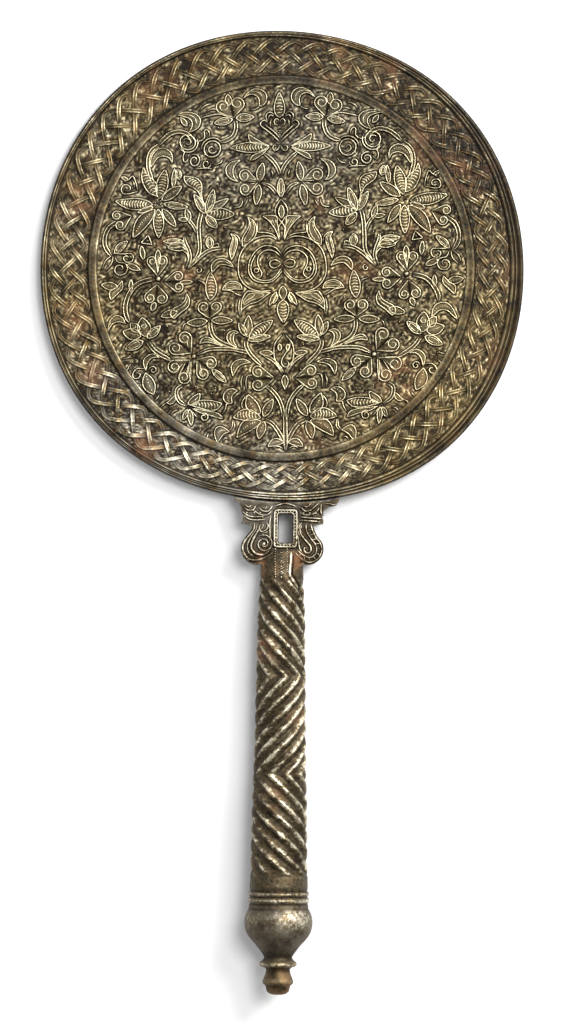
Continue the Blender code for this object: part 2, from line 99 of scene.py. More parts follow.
GOLD = ((84, -16, 26, 0.9), (70, -52, 26, 0.9), (40, -78, 26, 0.8), (88, 10, 16, 0.6), (-84, -22, 24, 0.9),
        (-90, 8, 22, 0.9), (-82, 40, 20, 0.8), (-60, 58, 22, 0.6), (-20, 86, 24, 0.7), (30, 82, 16, 0.6),
        (60, 66, 14, 0.5), (0, -5, 34, 0.4), (-10, -30, 26, 0.3), (-82, 30, 18, 0.5), (48, 30, 14, 0.35),
        (66, -6, 12, 0.3), (-30, -82, 18, 0.2), (-5, -66, 16, 0.3), (0, -283, 8, 0.8), (6, -276, 6, 0.6))
SILVER = ((-62, -62, 22, 0.8), (-40, -78, 24, 1.0), (-10, -88, 24, 1.0), (-72, -48, 14, 0.6),
          (24, -86, 16, 0.5), (-24, 40, 34, 0.3), (10, 48, 36, 0.35), (-50, 40, 26, 0.3),
          (-74, 56, 14, 0.3), (0, -97, 12, 1.0), (-88, 16, 22, 0.4), (-86, -34, 18, 0.35),
          (-80, 46, 16, 0.3), (0, -262, 13, 0.6))
# painted shade: darker patches over the top and the right side of the plate
PAINTED_SHADE = ((0, 52, 44, 0.22), (0, 88, 34, 0.45), (44, 76, 30, 0.45), (92, 4, 30, 0.6), (92, -36, 26, 0.3),
         (74, 60, 26, 0.9), (60, 74, 20, 0.8), (84, 40, 16, 0.7), (88, -46, 12, 0.6), (80, -58, 10, 0.5))


def patches(rows, points):
    """Strength at each point of the strongest patch that reaches it."""
    total = np.zeros(len(points))
    for x, y, reach, strength in rows:
        gap = np.hypot(points[:, 0] - x, points[:, 1] - y) / reach
        total = np.maximum(total, strength * np.clip(1.25 - gap, 0, 1))
    return total


NOISE_CELLS, CURVE_STEPS = 512, 8


def value_noise(x, y, seed):
    """Smooth values between -1 and 1 that change over a unit of x and of y."""
    table = np.random.RandomState(seed).uniform(-1, 1, (NOISE_CELLS, NOISE_CELLS))
    i, j = np.floor(x).astype(int), np.floor(y).astype(int)
    u, v = x - i, y - j
    u, v = u * u * (3 - 2 * u), v * v * (3 - 2 * v)
    i, j = i % (NOISE_CELLS - 1), j % (NOISE_CELLS - 1)
    low = table[i, j] * (1 - u) + table[i + 1, j] * u
    high = table[i, j + 1] * (1 - u) + table[i + 1, j + 1] * u
    return low * (1 - v) + high * v


# --- mesh making -----------------------------------------------------------------------


def close_underside(work, level):
    """Drops a skirt from the open edge of a sheet and closes it with a flat floor."""
    open_edges = [edge for edge in work.edges if edge.is_boundary]
    lowered = bmesh.ops.extrude_edge_only(work, edges=open_edges)["geom"]
    for item in lowered:
        if isinstance(item, bmesh.types.BMVert):
            item.co.z = level * MM
    foot = [item for item in lowered if isinstance(item, bmesh.types.BMEdge)]
    bmesh.ops.edgeloop_fill(work, edges=foot)


class Relief:
    """Gathers quads and triangles with a wear value at each point, 1 on the worn tops."""

    def __init__(self):
        self.points, self.faces, self.wear = [], [], []
        self.count = 0

    def add(self, points, faces, wear):
        self.points.append(np.asarray(points, dtype=float))
        self.wear.append(np.asarray(wear, dtype=float))
        self.faces += [tuple(self.count + i for i in face) for face in faces]
        self.count += len(points)

    def grid(self, rows, wear, close_rows=False, caps=False):
        """Quads through a table of points: rows x closed ring."""
        rows = np.asarray(rows, dtype=float)
        n, m = rows.shape[:2]
        wear = np.broadcast_to(np.asarray(wear, dtype=float), (n, m))
        faces = []
        for i in range(n if close_rows else n - 1):
            a, b = i * m, ((i + 1) % n) * m
            for j in range(m):
                k = (j + 1) % m
                faces.append((a + j, a + k, b + k, b + j))
        if caps:
            faces.append(tuple(range(m))[::-1])
            faces.append(tuple((n - 1) * m + j for j in range(m)))
        self.add(rows.reshape(-1, 3), faces, wear.reshape(-1))

    def paint(self, mesh, plan):
        """Gives each point its wear and its share of rust, gold, silver and painted shade."""
        wear = mesh.attributes.new("wear", "FLOAT", "POINT")
        wear.data.foreach_set("value", np.clip(np.concatenate(self.wear), 0, 1))
        tint = np.stack([patches(rows, plan) for rows in (RUST, GOLD, SILVER, PAINTED_SHADE)], axis=1)
        colour = mesh.attributes.new("tint", "FLOAT_COLOR", "POINT")
        colour.data.foreach_set("color", tint.reshape(-1))

    def build(self, name, pose, material, slot, place=None, sharp=None, underside=None):
        """Makes the piece, with its pose worked into its points."""
        points = np.concatenate(self.points)
        mesh = bpy.data.meshes.new(name)
        mesh.from_pydata((points * MM).tolist(), [], self.faces)
        self.paint(mesh, points[:, :2] if place is None else place(points))
        work = bmesh.new()
        work.from_mesh(mesh)
        if underside is not None:
            close_underside(work, underside)
        bmesh.ops.recalc_face_normals(work, faces=work.faces)
        work.to_mesh(mesh)
        work.free()
        mesh.transform(pose)
        mesh.shade_smooth()
        if sharp:
            mesh.set_sharp_from_angle(angle=math.radians(sharp))
        mesh.materials.append(material)
        piece = bpy.data.objects.new(name, mesh)
        bpy.context.scene.collection.objects.link(piece)
        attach(piece, "root")


def way_along(line):
    """Length from the start of a line to each of its points."""
    return np.concatenate([[0], np.cumsum(np.linalg.norm(np.diff(line, axis=0), axis=1))])


def even_points(line, count):
    """A set number of points at even steps along a line."""
    reach = way_along(line)
    at = np.linspace(0, reach[-1], count)
    return np.stack([np.interp(at, reach, line[:, k]) for k in range(line.shape[1])], axis=1)


def resample(line, step, closed=False):
    """Points along a line at even steps of about a set length."""
    line = np.asarray(line, dtype=float)
    if closed:
        line = np.vstack([line, line[:1]])
    count = max(2, int(round(way_along(line)[-1] / step)) + 1)
    even = even_points(line, count)
    return even[:-1] if closed else even


def smooth_line(knots):
    """Catmull-Rom curve through the knots."""
    knots = np.asarray(knots, dtype=float)
    knots = np.vstack([2 * knots[0] - knots[1], knots, 2 * knots[-1] - knots[-2]])
    line = []
    for a, b, c, d in zip(knots, knots[1:], knots[2:], knots[3:]):
        for i in range(CURVE_STEPS):
            t = i / CURVE_STEPS
            line.append(0.5 * (2 * b + (c - a) * t + (2 * a - 5 * b + 4 * c - d) * t ** 2
                               + (3 * b - a - 3 * c + d) * t ** 3))
    return np.array(line + [knots[-2]])


def even_at(line, at):
    """Point at a place counted in points along a line."""
    low = int(min(at, len(line) - 2))
    return line[low] + (line[low + 1] - line[low]) * (at - low)


def part_of(y):
    return "upper" if y > 22 else "middle" if y > -22 else "lower"


def sides(line, closed=False):
    """Unit vectors across a plan line at each of its points."""
    if closed:
        way = np.roll(line, -1, axis=0) - np.roll(line, 1, axis=0)
    else:
        way = np.gradient(line, axis=0)
    way = way[:, :2] / np.maximum(np.linalg.norm(way[:, :2], axis=1, keepdims=True), 1e-9)
    return np.stack([-way[:, 1], way[:, 0]], axis=1)


# section of a raised line: place across in half widths, height, wear
LINE_SECTION = ((-2.6, -0.35, 0.0), (-1.15, 0.0, 0.0), (-0.8, 0.85, 0.9), (0.0, 1.0, 1.0),
                (0.8, 0.85, 0.9), (1.15, 0.0, 0.0), (2.6, -0.35, 0.0))
LINE_STEP = 0.8
WALL_DROP = 0.4


def end_taper(count):
    """Scale along a line that thins over its last three points at either end."""
    scale = np.ones(count)
    ends = min(3, count // 2)
    ramp = np.linspace(0.35, 1, ends + 1)[:-1]
    scale[:ends] = ramp
    scale[-ends:] = ramp[::-1]
    return scale


def ribbon(relief, line, width, base, height, closed, taper, wear, section=LINE_SECTION,
           step=LINE_STEP, base_at=None):
    """Raised line swept along a plan line; its cut sides and a skirt beside it are dark, partly patina and
    partly painted shade.
    """
    line = resample(line, step, closed)
    count = len(line)
    if count < 2:
        return
    across = sides(line, closed)
    scale = end_taper(count) if taper and not closed else np.ones(count)
    low = np.full(count, base) if base_at is None else base_at(line)
    rows = []
    for u, z, _ in section:
        plan = line[:, :2] + across * (u * width / 2 * scale)[:, None]
        rows.append(np.column_stack([plan, low + z * height * (scale if z > 0 else 1.0)]))
    rows = np.stack(rows, axis=1)
    floor = rows[:, [0, -1]].copy()
    floor[:, :, 2] -= WALL_DROP
    rows = np.concatenate([floor[:, :1], rows, floor[:, 1:]], axis=1)
    value = np.array([0.0, *(w for _, _, w in section), 0.0]) * wear
    relief.grid(rows, value, close_rows=closed, caps=not closed)


# rings of a dot, from its foot up: share of the radius, share of the height, wear
DOT_RINGS = ((1.5, -0.3, 0.0), (1.0, 0.1, 0.1), (0.6, 0.9, 0.9))
DOT_SIDES = 6


def dot(relief, x, y, radius, base, height, wear=1.0):
    """Small raised boss."""
    turns = np.arange(DOT_SIDES) * TAU / DOT_SIDES
    points = [[x + radius * k * math.cos(t), y + radius * k * math.sin(t), base + height * z]
              for k, z, _ in DOT_RINGS for t in turns]
    points.append([x, y, base + height])
    faces = []
    for low in (0, DOT_SIDES):
        for j in range(DOT_SIDES):
            k = (j + 1) % DOT_SIDES
            faces.append((low + j, low + k, low + DOT_SIDES + k, low + DOT_SIDES + j))
    last = 2 * DOT_SIDES
    faces += [(last + j, last + (j + 1) % DOT_SIDES, last + DOT_SIDES) for j in range(DOT_SIDES)]
    faces.append(tuple(range(DOT_SIDES))[::-1])
    value = np.array([w for _, _, w in DOT_RINGS for _ in turns] + [1.0]) * wear
    relief.add(points, faces, value)


# section of a leaf's cushion: share of the way across, height, wear
CUSHION_SECTION = ((0.0, -0.8, 0.0), (0.0, 0.45, 0.3), (0.22, 0.85, 0.8), (0.5, 1.0, 1.0),
                   (0.78, 0.85, 0.8), (1.0, 0.45, 0.3), (1.0, -0.8, 0.0))


def cushion(relief, left, right, base, height, wear):
    """Low pillow between two edge lines that meet at both ends."""
    left, right = np.asarray(left), np.asarray(right)
    rows = []
    for t, z, _ in CUSHION_SECTION:
        plan = left + (right - left) * t
        rows.append(np.column_stack([plan, np.full(len(plan), base + height * z)]))
    value = np.array([w for _, _, w in CUSHION_SECTION]) * wear
    relief.grid(np.stack(rows, axis=1), value, caps=True)


# --- drawing in the arabesque's own axes ---------------------------------------------------
# Motifs are drawn on the right half and mirrored; those on the axis are drawn once, as RIGHT.

RIGHT, LEFT, BOTH = (1,), (-1,), (1, -1)
LEAF_BASE, LEAF_RISE = GROUND_Z, 0.55
LINE_BASE, LINE_RISE = GROUND_Z + 0.35, 0.75
LINE_WIDTH, VEIN_WIDTH = 0.46, 0.4
LEAF_POINTS, BLADE_POINTS, SPIRAL_POINTS, LOBE_POINTS = 15, 17, 34, 10
DRIFT, DRIFT_LENGTH, DRIFT_SEEDS = 0.45, 9, (71, 72)


def to_plate(line, side):
    """Pattern to plate: the left half is the mirror image, drawn with a less steady hand."""
    line = np.asarray(line, dtype=float) * (side, 1)
    if side < 0:
        where = line / DRIFT_LENGTH + 60
        drift = [DRIFT * value_noise(where[:, 0], where[:, 1], seed) for seed in DRIFT_SEEDS]
        line = line + np.stack(drift, axis=1) * np.clip(-line[:, :1] / 6, 0, 1)
    line[:, 0] += PATTERN_SHIFT
    c, s = math.cos(PATTERN_TURN), math.sin(PATTERN_TURN)
    return line @ np.array([[c, s], [-s, c]])


def round_points(centre, side_way, up_way, radius, turns, fades):
    """Points round a centre, in the axes of a motif that lies at a slant."""
    return np.array([centre + (side_way * math.cos(t) + up_way * math.sin(t)) * radius * fade
                     for t, fade in zip(turns, fades)])


class Drawing:
    """Lines and cushions of the arabesque, each drawn on one or both sides of the axis."""

    def __init__(self):
        self.lines = {part: Relief() for part in ("upper", "middle", "lower")}
        self.bodies = Relief()
        self.traces = []
        self.sides = BOTH

    def line(self, points, width=LINE_WIDTH, closed=False, wear=1.0, taper=True):
        part = part_of(np.mean(np.asarray(points)[:, 1]))
        for side in self.sides:
            placed = to_plate(points, side)
            self.traces.append(resample(placed, 0.6, closed))
            ribbon(self.lines[part], placed, width, LINE_BASE, LINE_RISE, closed, taper, wear)

    def path(self, *knots):
        self.line(smooth_line(knots))

    def strokes(self, *rows):
        """Fine straight lines, each from its first point to its second."""
        for x0, y0, x1, y1 in rows:
            self.line([(x0, y0), (x1, y1)], width=VEIN_WIDTH)

    def arc(self, x, y, radius, start, end):
        whole = abs(end - start) == 360
        turn = np.radians(np.linspace(start, end, 24, endpoint=not whole))
        circle = np.stack([x + radius * np.cos(turn), y + radius * np.sin(turn)], axis=1)
        self.line(circle, closed=whole)

    def dots(self, points, radius=0.34, wear=0.95):
        for side in self.sides:
            for x, y in to_plate(points, side):
                dot(self.lines[part_of(y)], x, y, radius, LINE_BASE, LINE_RISE * 0.8, wear)

    def body(self, left, right, wear=0.3, rise=LEAF_RISE):
        for side in self.sides:
            cushion(self.bodies, to_plate(left, side), to_plate(right, side), LEAF_BASE, rise, wear)

    def stem(self, knots, width):
        """Two lines side by side over a low rounded band."""
        middle = resample(smooth_line(knots), 0.8)
        across = sides(middle)
        ease = np.ones(len(middle))
        ease[-4:] = np.linspace(1, 0.3, 4)
        left = middle + across * (width / 2 * ease)[:, None]
        right = middle - across * (width / 2 * ease)[:, None]
        self.body(left, right, 0.18, LEAF_RISE * 0.7)
        self.line(left)
        self.line(right)

    def leaf(self, x0, y0, x1, y1, width, fill="dots", bow=0.0, full=0.45):
        """Pointed leaf, widest at the share `full` of its length."""
        root = np.array([x0, y0])
        along = np.array([x1 - x0, y1 - y0])
        across = np.array([-along[1], along[0]]) / np.linalg.norm(along)
        t = np.linspace(0, 1, LEAF_POINTS)
        warped = t ** (math.log(0.5) / math.log(full))
        half = width / 2 * np.sin(math.pi * warped) ** 0.85
        bend = bow * np.linalg.norm(along) * 4 * t * (1 - t)
        middle = root + along * t[:, None] + across * bend[:, None]
        self.leaf_between(middle + across * half[:, None], middle - across * half[:, None], fill)

    def leaves(self, *rows):
        for row in rows:
            self.leaf(*row)

    def blade(self, root, tip, outer, inner, fill="rib"):
        """Bent leaf between two smooth edges that share their ends."""
        left, right = (even_points(smooth_line((root, *knots, tip)), BLADE_POINTS)
                       for knots in (outer, inner))
        self.leaf_between(left, right, fill)

    def leaf_between(self, left, right, fill):
        """Low cushion, raised outline, and what the leaf is filled with."""
        self.body(left, right)
        self.line(np.vstack([left, right[::-1][1:-1]]), closed=True)
        middle = (left + right) / 2
        if fill == "dots":
            self.fill_with_dots(left, middle, right)
        elif fill == "rib":
            self.line(middle[2:-3], width=VEIN_WIDTH, wear=0.85)
        elif fill == "double":
            inner = [middle + (side - middle) * 0.5 for side in (left, right)]
            outline = np.vstack([inner[0][3:-3], inner[1][3:-3][::-1]])
            self.line(outline, width=VEIN_WIDTH, closed=True, wear=0.85)
        elif fill == "hatch":
            self.fill_with_strokes(left, middle, right)

    def fill_with_dots(self, left, middle, right):
        """Row of dots along the leaf."""
        last = len(middle) - 1
        count = max(2, int(way_along(middle)[-1] / 1.5))
        width = np.linalg.norm(left - right, axis=1).max()
        spots = [middle[int(round(i))] for i in np.linspace(0.2 * last, 0.76 * last, count)]
        self.dots(spots, radius=min(0.42, width * 0.1), wear=1.0)

    def fill_with_strokes(self, left, middle, right):
        """Bent strokes across the leaf, each with its tip towards the leaf's end."""
        last = len(middle) - 1
        count = max(3, int(way_along(middle)[-1] / 1.5))
        for at in np.linspace(0.16 * last, 0.8 * last, count):
            a, b, c = (even_at(line, at) for line in (left, middle, right))
            tip = even_at(middle, min(at + 0.045 * last, last))
            stroke = [b + (a - b) * 0.68, tip, b + (c - b) * 0.68]
            self.line(stroke, width=0.56, wear=0.9, taper=False)

    def heart(self, x0, y0, x1, y1, width):
        """Heart from its point to its two lobes, whose lines curl inward into spirals."""
        root = np.array([x0, y0])
        along = np.array([x1 - x0, y1 - y0])
        length = np.linalg.norm(along)
        along = along / length
        radius = width * 0.25
        for hand in (1, -1):
            outward = np.array([-along[1], along[0]]) * hand
            centre = root + along * (length - radius) + outward * radius
            turns = np.linspace(-0.25 * math.pi, 3.05 * math.pi, SPIRAL_POINTS)
            fades = np.linspace(1, 0.22, SPIRAL_POINTS)
            spiral = round_points(centre, outward, along, radius, turns, fades)
            rise = root + (spiral[0] - root) * np.linspace(0, 1, 8)[:-1, None]
            self.line(np.vstack([rise, spiral]))
            turns = np.linspace(-0.25 * math.pi, 0.9 * math.pi, LOBE_POINTS)
            lobe = round_points(centre, outward, along, radius, turns, np.ones(LOBE_POINTS))
            outer = np.vstack([rise[::2], lobe])
            spine = root + along * np.linspace(0, length * 0.8, len(outer))[:, None]
            self.body(outer, spine, 0.28)

    def curl(self, x, y, radius, start, turns):
        """Spiral line winding inward to a quarter of its radius."""
        t = np.linspace(0, 1, int(14 * abs(turns)) + 4)
        turn = math.radians(start) + TAU * turns * t
        reach = radius * (1 - 0.75 * t)
        self.line(np.stack([x + reach * np.cos(turn), y + reach * np.sin(turn)], axis=1))


art = Drawing()


def crown():
    """Leaf under the top of the ring, between two comma leaves and two hearts."""
    art.sides = RIGHT
    art.leaf(0, 60.4, 0, 70.4, 4.2, "hatch", full=0.35)
    art.sides = BOTH
    art.blade((14.2, 68.4), (8.3, 65),
              ((12, 70.9), (9, 72.2), (6.2, 71.4), (4.8, 69.2), (5.2, 66.9), (7, 65.2)),
              ((12, 69.9), (10, 70), (8.6, 69.2), (8, 67.8), (8, 66.4)))
    art.path((8.3, 65), (9.4, 64.1), (11.6, 63.6))
    art.heart(18.4, 60.4, 20.2, 68.4, 11.4)
    art.leaf(20, 65.4, 20.6, 70.2, 2.6, "rib")
    art.dots([(18.2, 63.4), (19.6, 62.8)])
    art.leaf(17.4, 60.2, 10.4, 60.7, 3.2, "double")
    art.leaf(19, 59.8, 26.2, 58.2, 2.8, "double")
    art.path((19.5, 60.5), (24, 61.9), (28.5, 61.2), (31.6, 60.4))
    art.stem(((17.9, 59.6), (17.8, 56.5), (19, 53.4), (21.4, 51.6), (24.6, 50.6)), 1.2)
    art.path((27, 66.2), (29.6, 65.4), (31.4, 63.6))
    art.path((24.4, 63.9), (26.6, 64), (28.6, 63.2))


def calyx():
    """Crossing bands that open below the crown, with a spiral in each hollow."""
    art.path((0.2, 50.6), (2.5, 52.8), (5, 55), (7.6, 57.2), (7.4, 58.6), (6.2, 59.3), (5, 58.6), (5, 57.7))
    art.path((0, 52), (2, 54.2), (4.6, 56.4), (6, 57.8))
    art.path((2.2, 61), (2.7, 62.2), (4, 62.6), (5.3, 61.8), (5.5, 60.2), (4.7, 58.9))
    art.path((2.3, 60.5), (3.1, 61.5), (4.3, 61), (4.5, 59.7))
    art.path((3.2, 60), (3.8, 58), (3.5, 56.4))
    art.path((0.2, 58.6), (0.7, 59.8), (1.8, 59.6), (2.2, 58.2), (1.4, 57.2), (0.7, 57.7))
    art.path((0.2, 49.4), (0.8, 47.8), (2, 47), (3, 47.8), (2.6, 49.2), (1.4, 49))
    art.dots([(-0.2, 55), (0.5, 54.2)])
    art.blade((4.4, 48.9), (12.6, 53.8), ((8, 50.9),), ((8, 49.7), (11.4, 50.4), (12.4, 52)), "none")
    art.leaf(4.8, 48.8, 20.2, 48.6, 3.8, "hatch")
    art.blade((4.4, 48.4), (12.4, 43.6), ((8, 46.9), (11.2, 45.6)), ((7.6, 45.9), (10.8, 44)), "none")


def upper_axis():
    """Stems that rise from the middle, with pods and a heart to each side."""
    art.stem(((0.2, 37.4), (0.9, 39.6), (2.6, 42.4), (5.2, 45), (7.2, 46.8)), 1.1)
    art.leaf(8.2, 34.8, 7.2, 42.6, 3)
    art.leaf(8.4, 33.4, 9.8, 24.8, 3)
    art.heart(8.6, 34.6, 17.2, 34.4, 10.8)
    art.line([(9.4, 35.4), (13, 36)])
    art.line([(9.2, 34.8), (13.4, 35)])
    art.line([(9.4, 34.2), (12.6, 33.6)])
    art.blade((16, 43.6), (17.4, 34.9), ((19.4, 42.9), (21.6, 40.6), (21.8, 38), (20.2, 35.9)),
              ((18, 42), (19.2, 39.9), (19.3, 37.9), (18.8, 36.2)), "dots")
    art.path((3.8, 39.6), (3.2, 38), (3.2, 36.8))
    art.dots([(4, 35.5), (6, 35.5), (13, 44.2), (11, 40), (12.4, 28.6)])
    art.sides = RIGHT
    art.leaf(0, 28.4, 0, 36.2, 2.8, "double")
    art.sides = BOTH
    art.stem(((1.8, 30), (4.2, 33), (7.4, 34.2)), 1)
    art.path((15.6, 27.6), (16, 25.6), (17, 24.6), (19.5, 24.2))
    art.path((13.2, 27.6), (14.4, 25.6), (15.2, 24.6))


def upper_side():
    """Ring knots, comma leaves and curls between the crown and the star flower."""
    art.blade((41, 61.8), (36.4, 55.2),
              ((38.4, 62.9), (35, 62.6), (32.4, 61.4), (31.6, 59.4), (32.4, 57.2), (34.6, 55.7)),
              ((38, 61.2), (36, 60.4), (35, 58.8), (35.2, 57.2)))
    art.leaf(37.2, 57.6, 39.6, 60.8, 1.8, "none")
    art.stem(((34.8, 51.6), (36.8, 54.2), (40, 55.3), (43.6, 54.4), (46.6, 52.2), (48.8, 49.8)), 1.3)
    for x, y, radius, start, end in ((37.1, 51, 3.1, 0, 360), (37.1, 51, 4.2, 150, 330),
                                     (27, 48, 3.3, 0, 360), (27, 48, 4.5, 0, 140)):
        art.arc(x, y, radius, start, end)
    art.curl(37.1, 51, 1.9, 30, 1)
    art.curl(27, 48, 2, 200, 1)
    art.path((28.4, 52.6), (28.3, 54.6), (29.4, 56), (30.4, 55.2), (30.2, 53), (31.4, 51.7), (33.4, 51.4),
             (35, 53), (36.6, 54.6))
    art.curl(34.6, 43.4, 2.7, 60, 1.6)
    art.curl(29.4, 42, 2, 160, 1.4)
    art.path((37, 44.6), (38, 43), (39, 43.4), (39.2, 45.4), (38.6, 47), (39.8, 48.6), (39.4, 50.4))
    art.path((27.2, 40), (30, 40.4), (34.4, 40.4))
    art.dots([(30, 45.8), (33, 45.9), (37.2, 45.3), (24.6, 56.6), (27.6, 59), (44.2, 58.4)])
    art.blade((43.4, 43), (52.2, 41), ((43.6, 46.4), (45.6, 48.5), (48.2, 48.7), (50.8, 47), (52.2, 44)),
              ((44.6, 45), (47, 45.8), (49.4, 44.9), (51, 42.8)), "dots")
    art.path((22.6, 44), (24, 42.2), (26.4, 41.6))
    art.stem(((48.8, 49.8), (51.6, 47.8), (53.1, 44.8), (53.2, 41), (52.2, 37.6), (51, 33.6)), 1.1)


def star_flower():
    """The great flower near the ring: long hatched and beaded petals about an open middle."""
    art.leaves((48.9, 28.6, 46.4, 40.4, 4.6, "hatch", 0), (47.6, 28, 39.4, 33.8, 3.6, "dots", 0),
               (46.8, 26.6, 37.4, 24.9, 2.6, "double", 0), (51.6, 26.2, 66.6, 28.2, 4.6, "hatch", -0.03),
               (50.6, 24.2, 59.4, 13, 4.8, "dots", 0.05), (49.2, 24.4, 49.2, 12.8, 3.8, "hatch", 0),
               (47.6, 24.6, 42.4, 17.4, 3, "dots", 0), (51.4, 25.2, 57.6, 23, 2, "none", 0))
    art.blade((49.8, 29.6), (55, 41.4), ((49.8, 34), (51.6, 36.6), (54, 38.6)),
              ((53, 31), (55.2, 34.6), (55.8, 38)), "hatch")
    art.dots([(49.2 + 1.2 * math.cos(t), 27 + 1.2 * math.sin(t)) for t in np.arange(5) * TAU / 5], 0.36)


def inner_flower():
    """Flower between the star and the axis, with two buds above it."""
    art.leaves((30.5, 22.6, 34.8, 30.2, 3, "double"), (30, 22.6, 26.8, 32, 3.2, "double"),
               (30.2, 22.8, 18.8, 21.8, 4.4, "hatch"), (30, 21.6, 25.6, 16.8, 3.2, "double"),
               (29.6, 23.4, 21.4, 28, 2.8, "dots"), (40.4, 36.4, 41.4, 40.6, 2.6, "double"),
               (43.2, 33, 42.6, 40.6, 1.8, "rib"))
    art.blade((31.2, 25.6), (38.4, 37.9), ((31.8, 30), (31.4, 34), (33.4, 36.9)),
              ((33.2, 31.6), (36.8, 34.4), (38.2, 36.2)), "hatch")
    art.dots([(22.5, 17), (26.5, 36.5), (36.4, 27.4), (24, 33.4)])


def outer_scrolls():
    """Stems, small leaves and spirals that fill the band beside the ring."""
    art.path((57.4, 31.8), (58, 35), (59.2, 38), (60.8, 36.6), (62.8, 35.6))
    art.path((57.4, 31.8), (61, 31), (63.4, 31.2), (63.9, 33), (62.6, 34.6), (60.8, 34.2), (60.2, 32.8),
             (61.4, 32), (62.4, 32.8))
    art.path((58.6, 33.2), (58.9, 35.4), (59.6, 36.4))
    art.leaf(61, 36.4, 63.8, 37.8, 1.2, "none")
    art.heart(60, 21.8, 67.2, 19.4, 8.4)
    art.stem(((65.8, 19.4), (69, 17), (70.6, 13.4), (70.4, 9.4), (68, 5.6)), 1.3)
    art.line([(52, 10.3), (53.3, 14), (56.4, 11)], closed=True)
    art.dots([(53.6, 11.8), (43.5, 15), (61, 15.4), (62.6, 10)])
    art.leaf(55.6, 4.4, 56.2, 10, 1.8, "none")
    art.leaf(66.8, 6.8, 61.4, 11.8, 2.6, "double", -0.05)
    art.path((66.8, 6.8), (63, 6.7), (60.4, 6.8), (59.4, 5.4), (60.4, 3.4), (62.6, 3.4), (63.4, 5.2),
             (62, 5.9), (61.2, 5))
    art.path((66.8, 5.8), (65.6, 3.4), (63, 2.8), (61.9, 0.8), (63, -1.4), (65.4, -1.8), (66.9, -0.2),
             (66.2, 1.8), (64.4, 2), (63.7, 0.6), (64.8, 0))
    art.leaf(62.2, 2.2, 57, 0.2, 2.2)
    art.path((67.4, 6), (68, 3), (70.4, 0.4))
    art.path((68, 6), (70.4, 4), (71.6, 1))
    art.heart(49.8, -2.2, 50, 6, 8.8)
    art.leaf(49.8, -1, 49.5, 8.2, 2.2, "rib", full=0.7)
    art.dots([(49.6, -3.2)], 1)


def medallion():
    """The two lobes of the middle: four bands wound inside each other about a small oval."""
    art.path((1.6, 11.2), (4.6, 12.6), (7.8, 12.5), (11, 11.6), (13.6, 9.9), (15.8, 7.4), (17, 4.4),
             (17.5, 1), (17.4, -2), (16.7, -4.2), (15, -6.6), (12.4, -8.5), (9.6, -9.4), (7, -9.5),
             (4.6, -9))
    art.path((1.6, 11.6), (4, 13.4), (6.8, 14), (9.8, 14.3), (9.9, 16.2), (9.9, 18.4))
    art.path((0.3, 5.6), (2.2, 7.9), (5, 8.8), (8, 8.5), (10.6, 6.9), (12.6, 4.2), (13.5, 1), (13.3, -2),
             (11.6, -4.5), (9, -5.7), (6.4, -5.9), (4, -5.1), (1.8, -3.2), (0.2, -1))
    art.path((0.6, 4.6), (2.6, 6.5), (5.4, 7.2), (8, 6.4), (9.8, 4.4), (10, 2), (9.2, 0), (8.3, -1.8),
             (9, -3.4), (10.8, -4.3))
    art.path((0.4, 0), (1.8, -2), (4, -4.2), (6.4, -4.9), (9, -4.7), (11.2, -3.4), (12.4, -1.4), (12.6, 1),
             (11.8, 3.6), (10.8, 5.4))
    art.arc(10.5, -0.6, 0.9, 0, 360)
    art.body([(0.4, 2), (2.4, 3.2), (5, 1.7)], [(0.4, 2), (2, 0.7), (5, 1.7)])
    art.path((0.4, 2), (2.4, 3.4), (4.6, 3), (5.1, 1.6), (3.8, 0.3), (1.8, 0.6), (0.4, 1.9))
    art.dots([(15.4, 1.4), (14.6, 5.6), (14.8, -3.6), (11.4, 9.2), (7, 10.6), (3.4, 10.2), (7.6, -7.6),
              (11.8, -6.6), (6.6, 1), (6, 4.2), (6, -2.2)])


def medallion_crown():
    """Drop, crossing bands and spread leaves above the lobes."""
    art.path((0, 27.6), (1.8, 25.2), (2.6, 22.6), (2.1, 20.6))
    art.sides = RIGHT
    art.leaf(0, 20, 0, 25.4, 2.2, "none")
    art.sides = BOTH
    art.path((-1.6, 20.8), (-0.4, 18.8), (1, 17), (1.5, 15.2), (1, 13.4), (0.5, 12))
    art.blade((1.1, 11.2), (7.8, 20.6), ((1.2, 15), (1.9, 18), (2.2, 20.8)),
              ((2, 14), (3.8, 17), (6, 19.4)), "none")
    art.strokes((2, 17, 2.8, 20), (2.6, 16.4, 4.2, 19.8), (3.4, 17.2, 5.4, 19.9))
    art.blade((15.6, 9), (13.6, 20.6), ((12, 11.2), (10.4, 13.6), (10.3, 16.6), (11.6, 19)),
              ((15.8, 11.6), (14.8, 14), (13.2, 16.6), (13, 19)), "double")
    art.blade((20, 3.6), (20.4, 14.4), ((18.6, 7), (17.6, 10.4), (18, 12.6)),
              ((20.8, 7), (20, 10.6), (19.4, 12.6)), "double")
    art.path((16.4, 10), (17, 12.6), (18.6, 14), (20.4, 14.4))
    art.blade((19.4, 0.6), (27.8, -1.4), ((20.6, 2.6), (23, 4.2), (26, 3.9), (28, 1.6)),
              ((22, 1.6), (24.6, 1.8), (26.2, 0.4)))
    art.dots([(23.4, 11.4), (24.6, 15), (7.4, 17), (5, 15.6), (7.6, 23.4), (4.4, 23.6)])


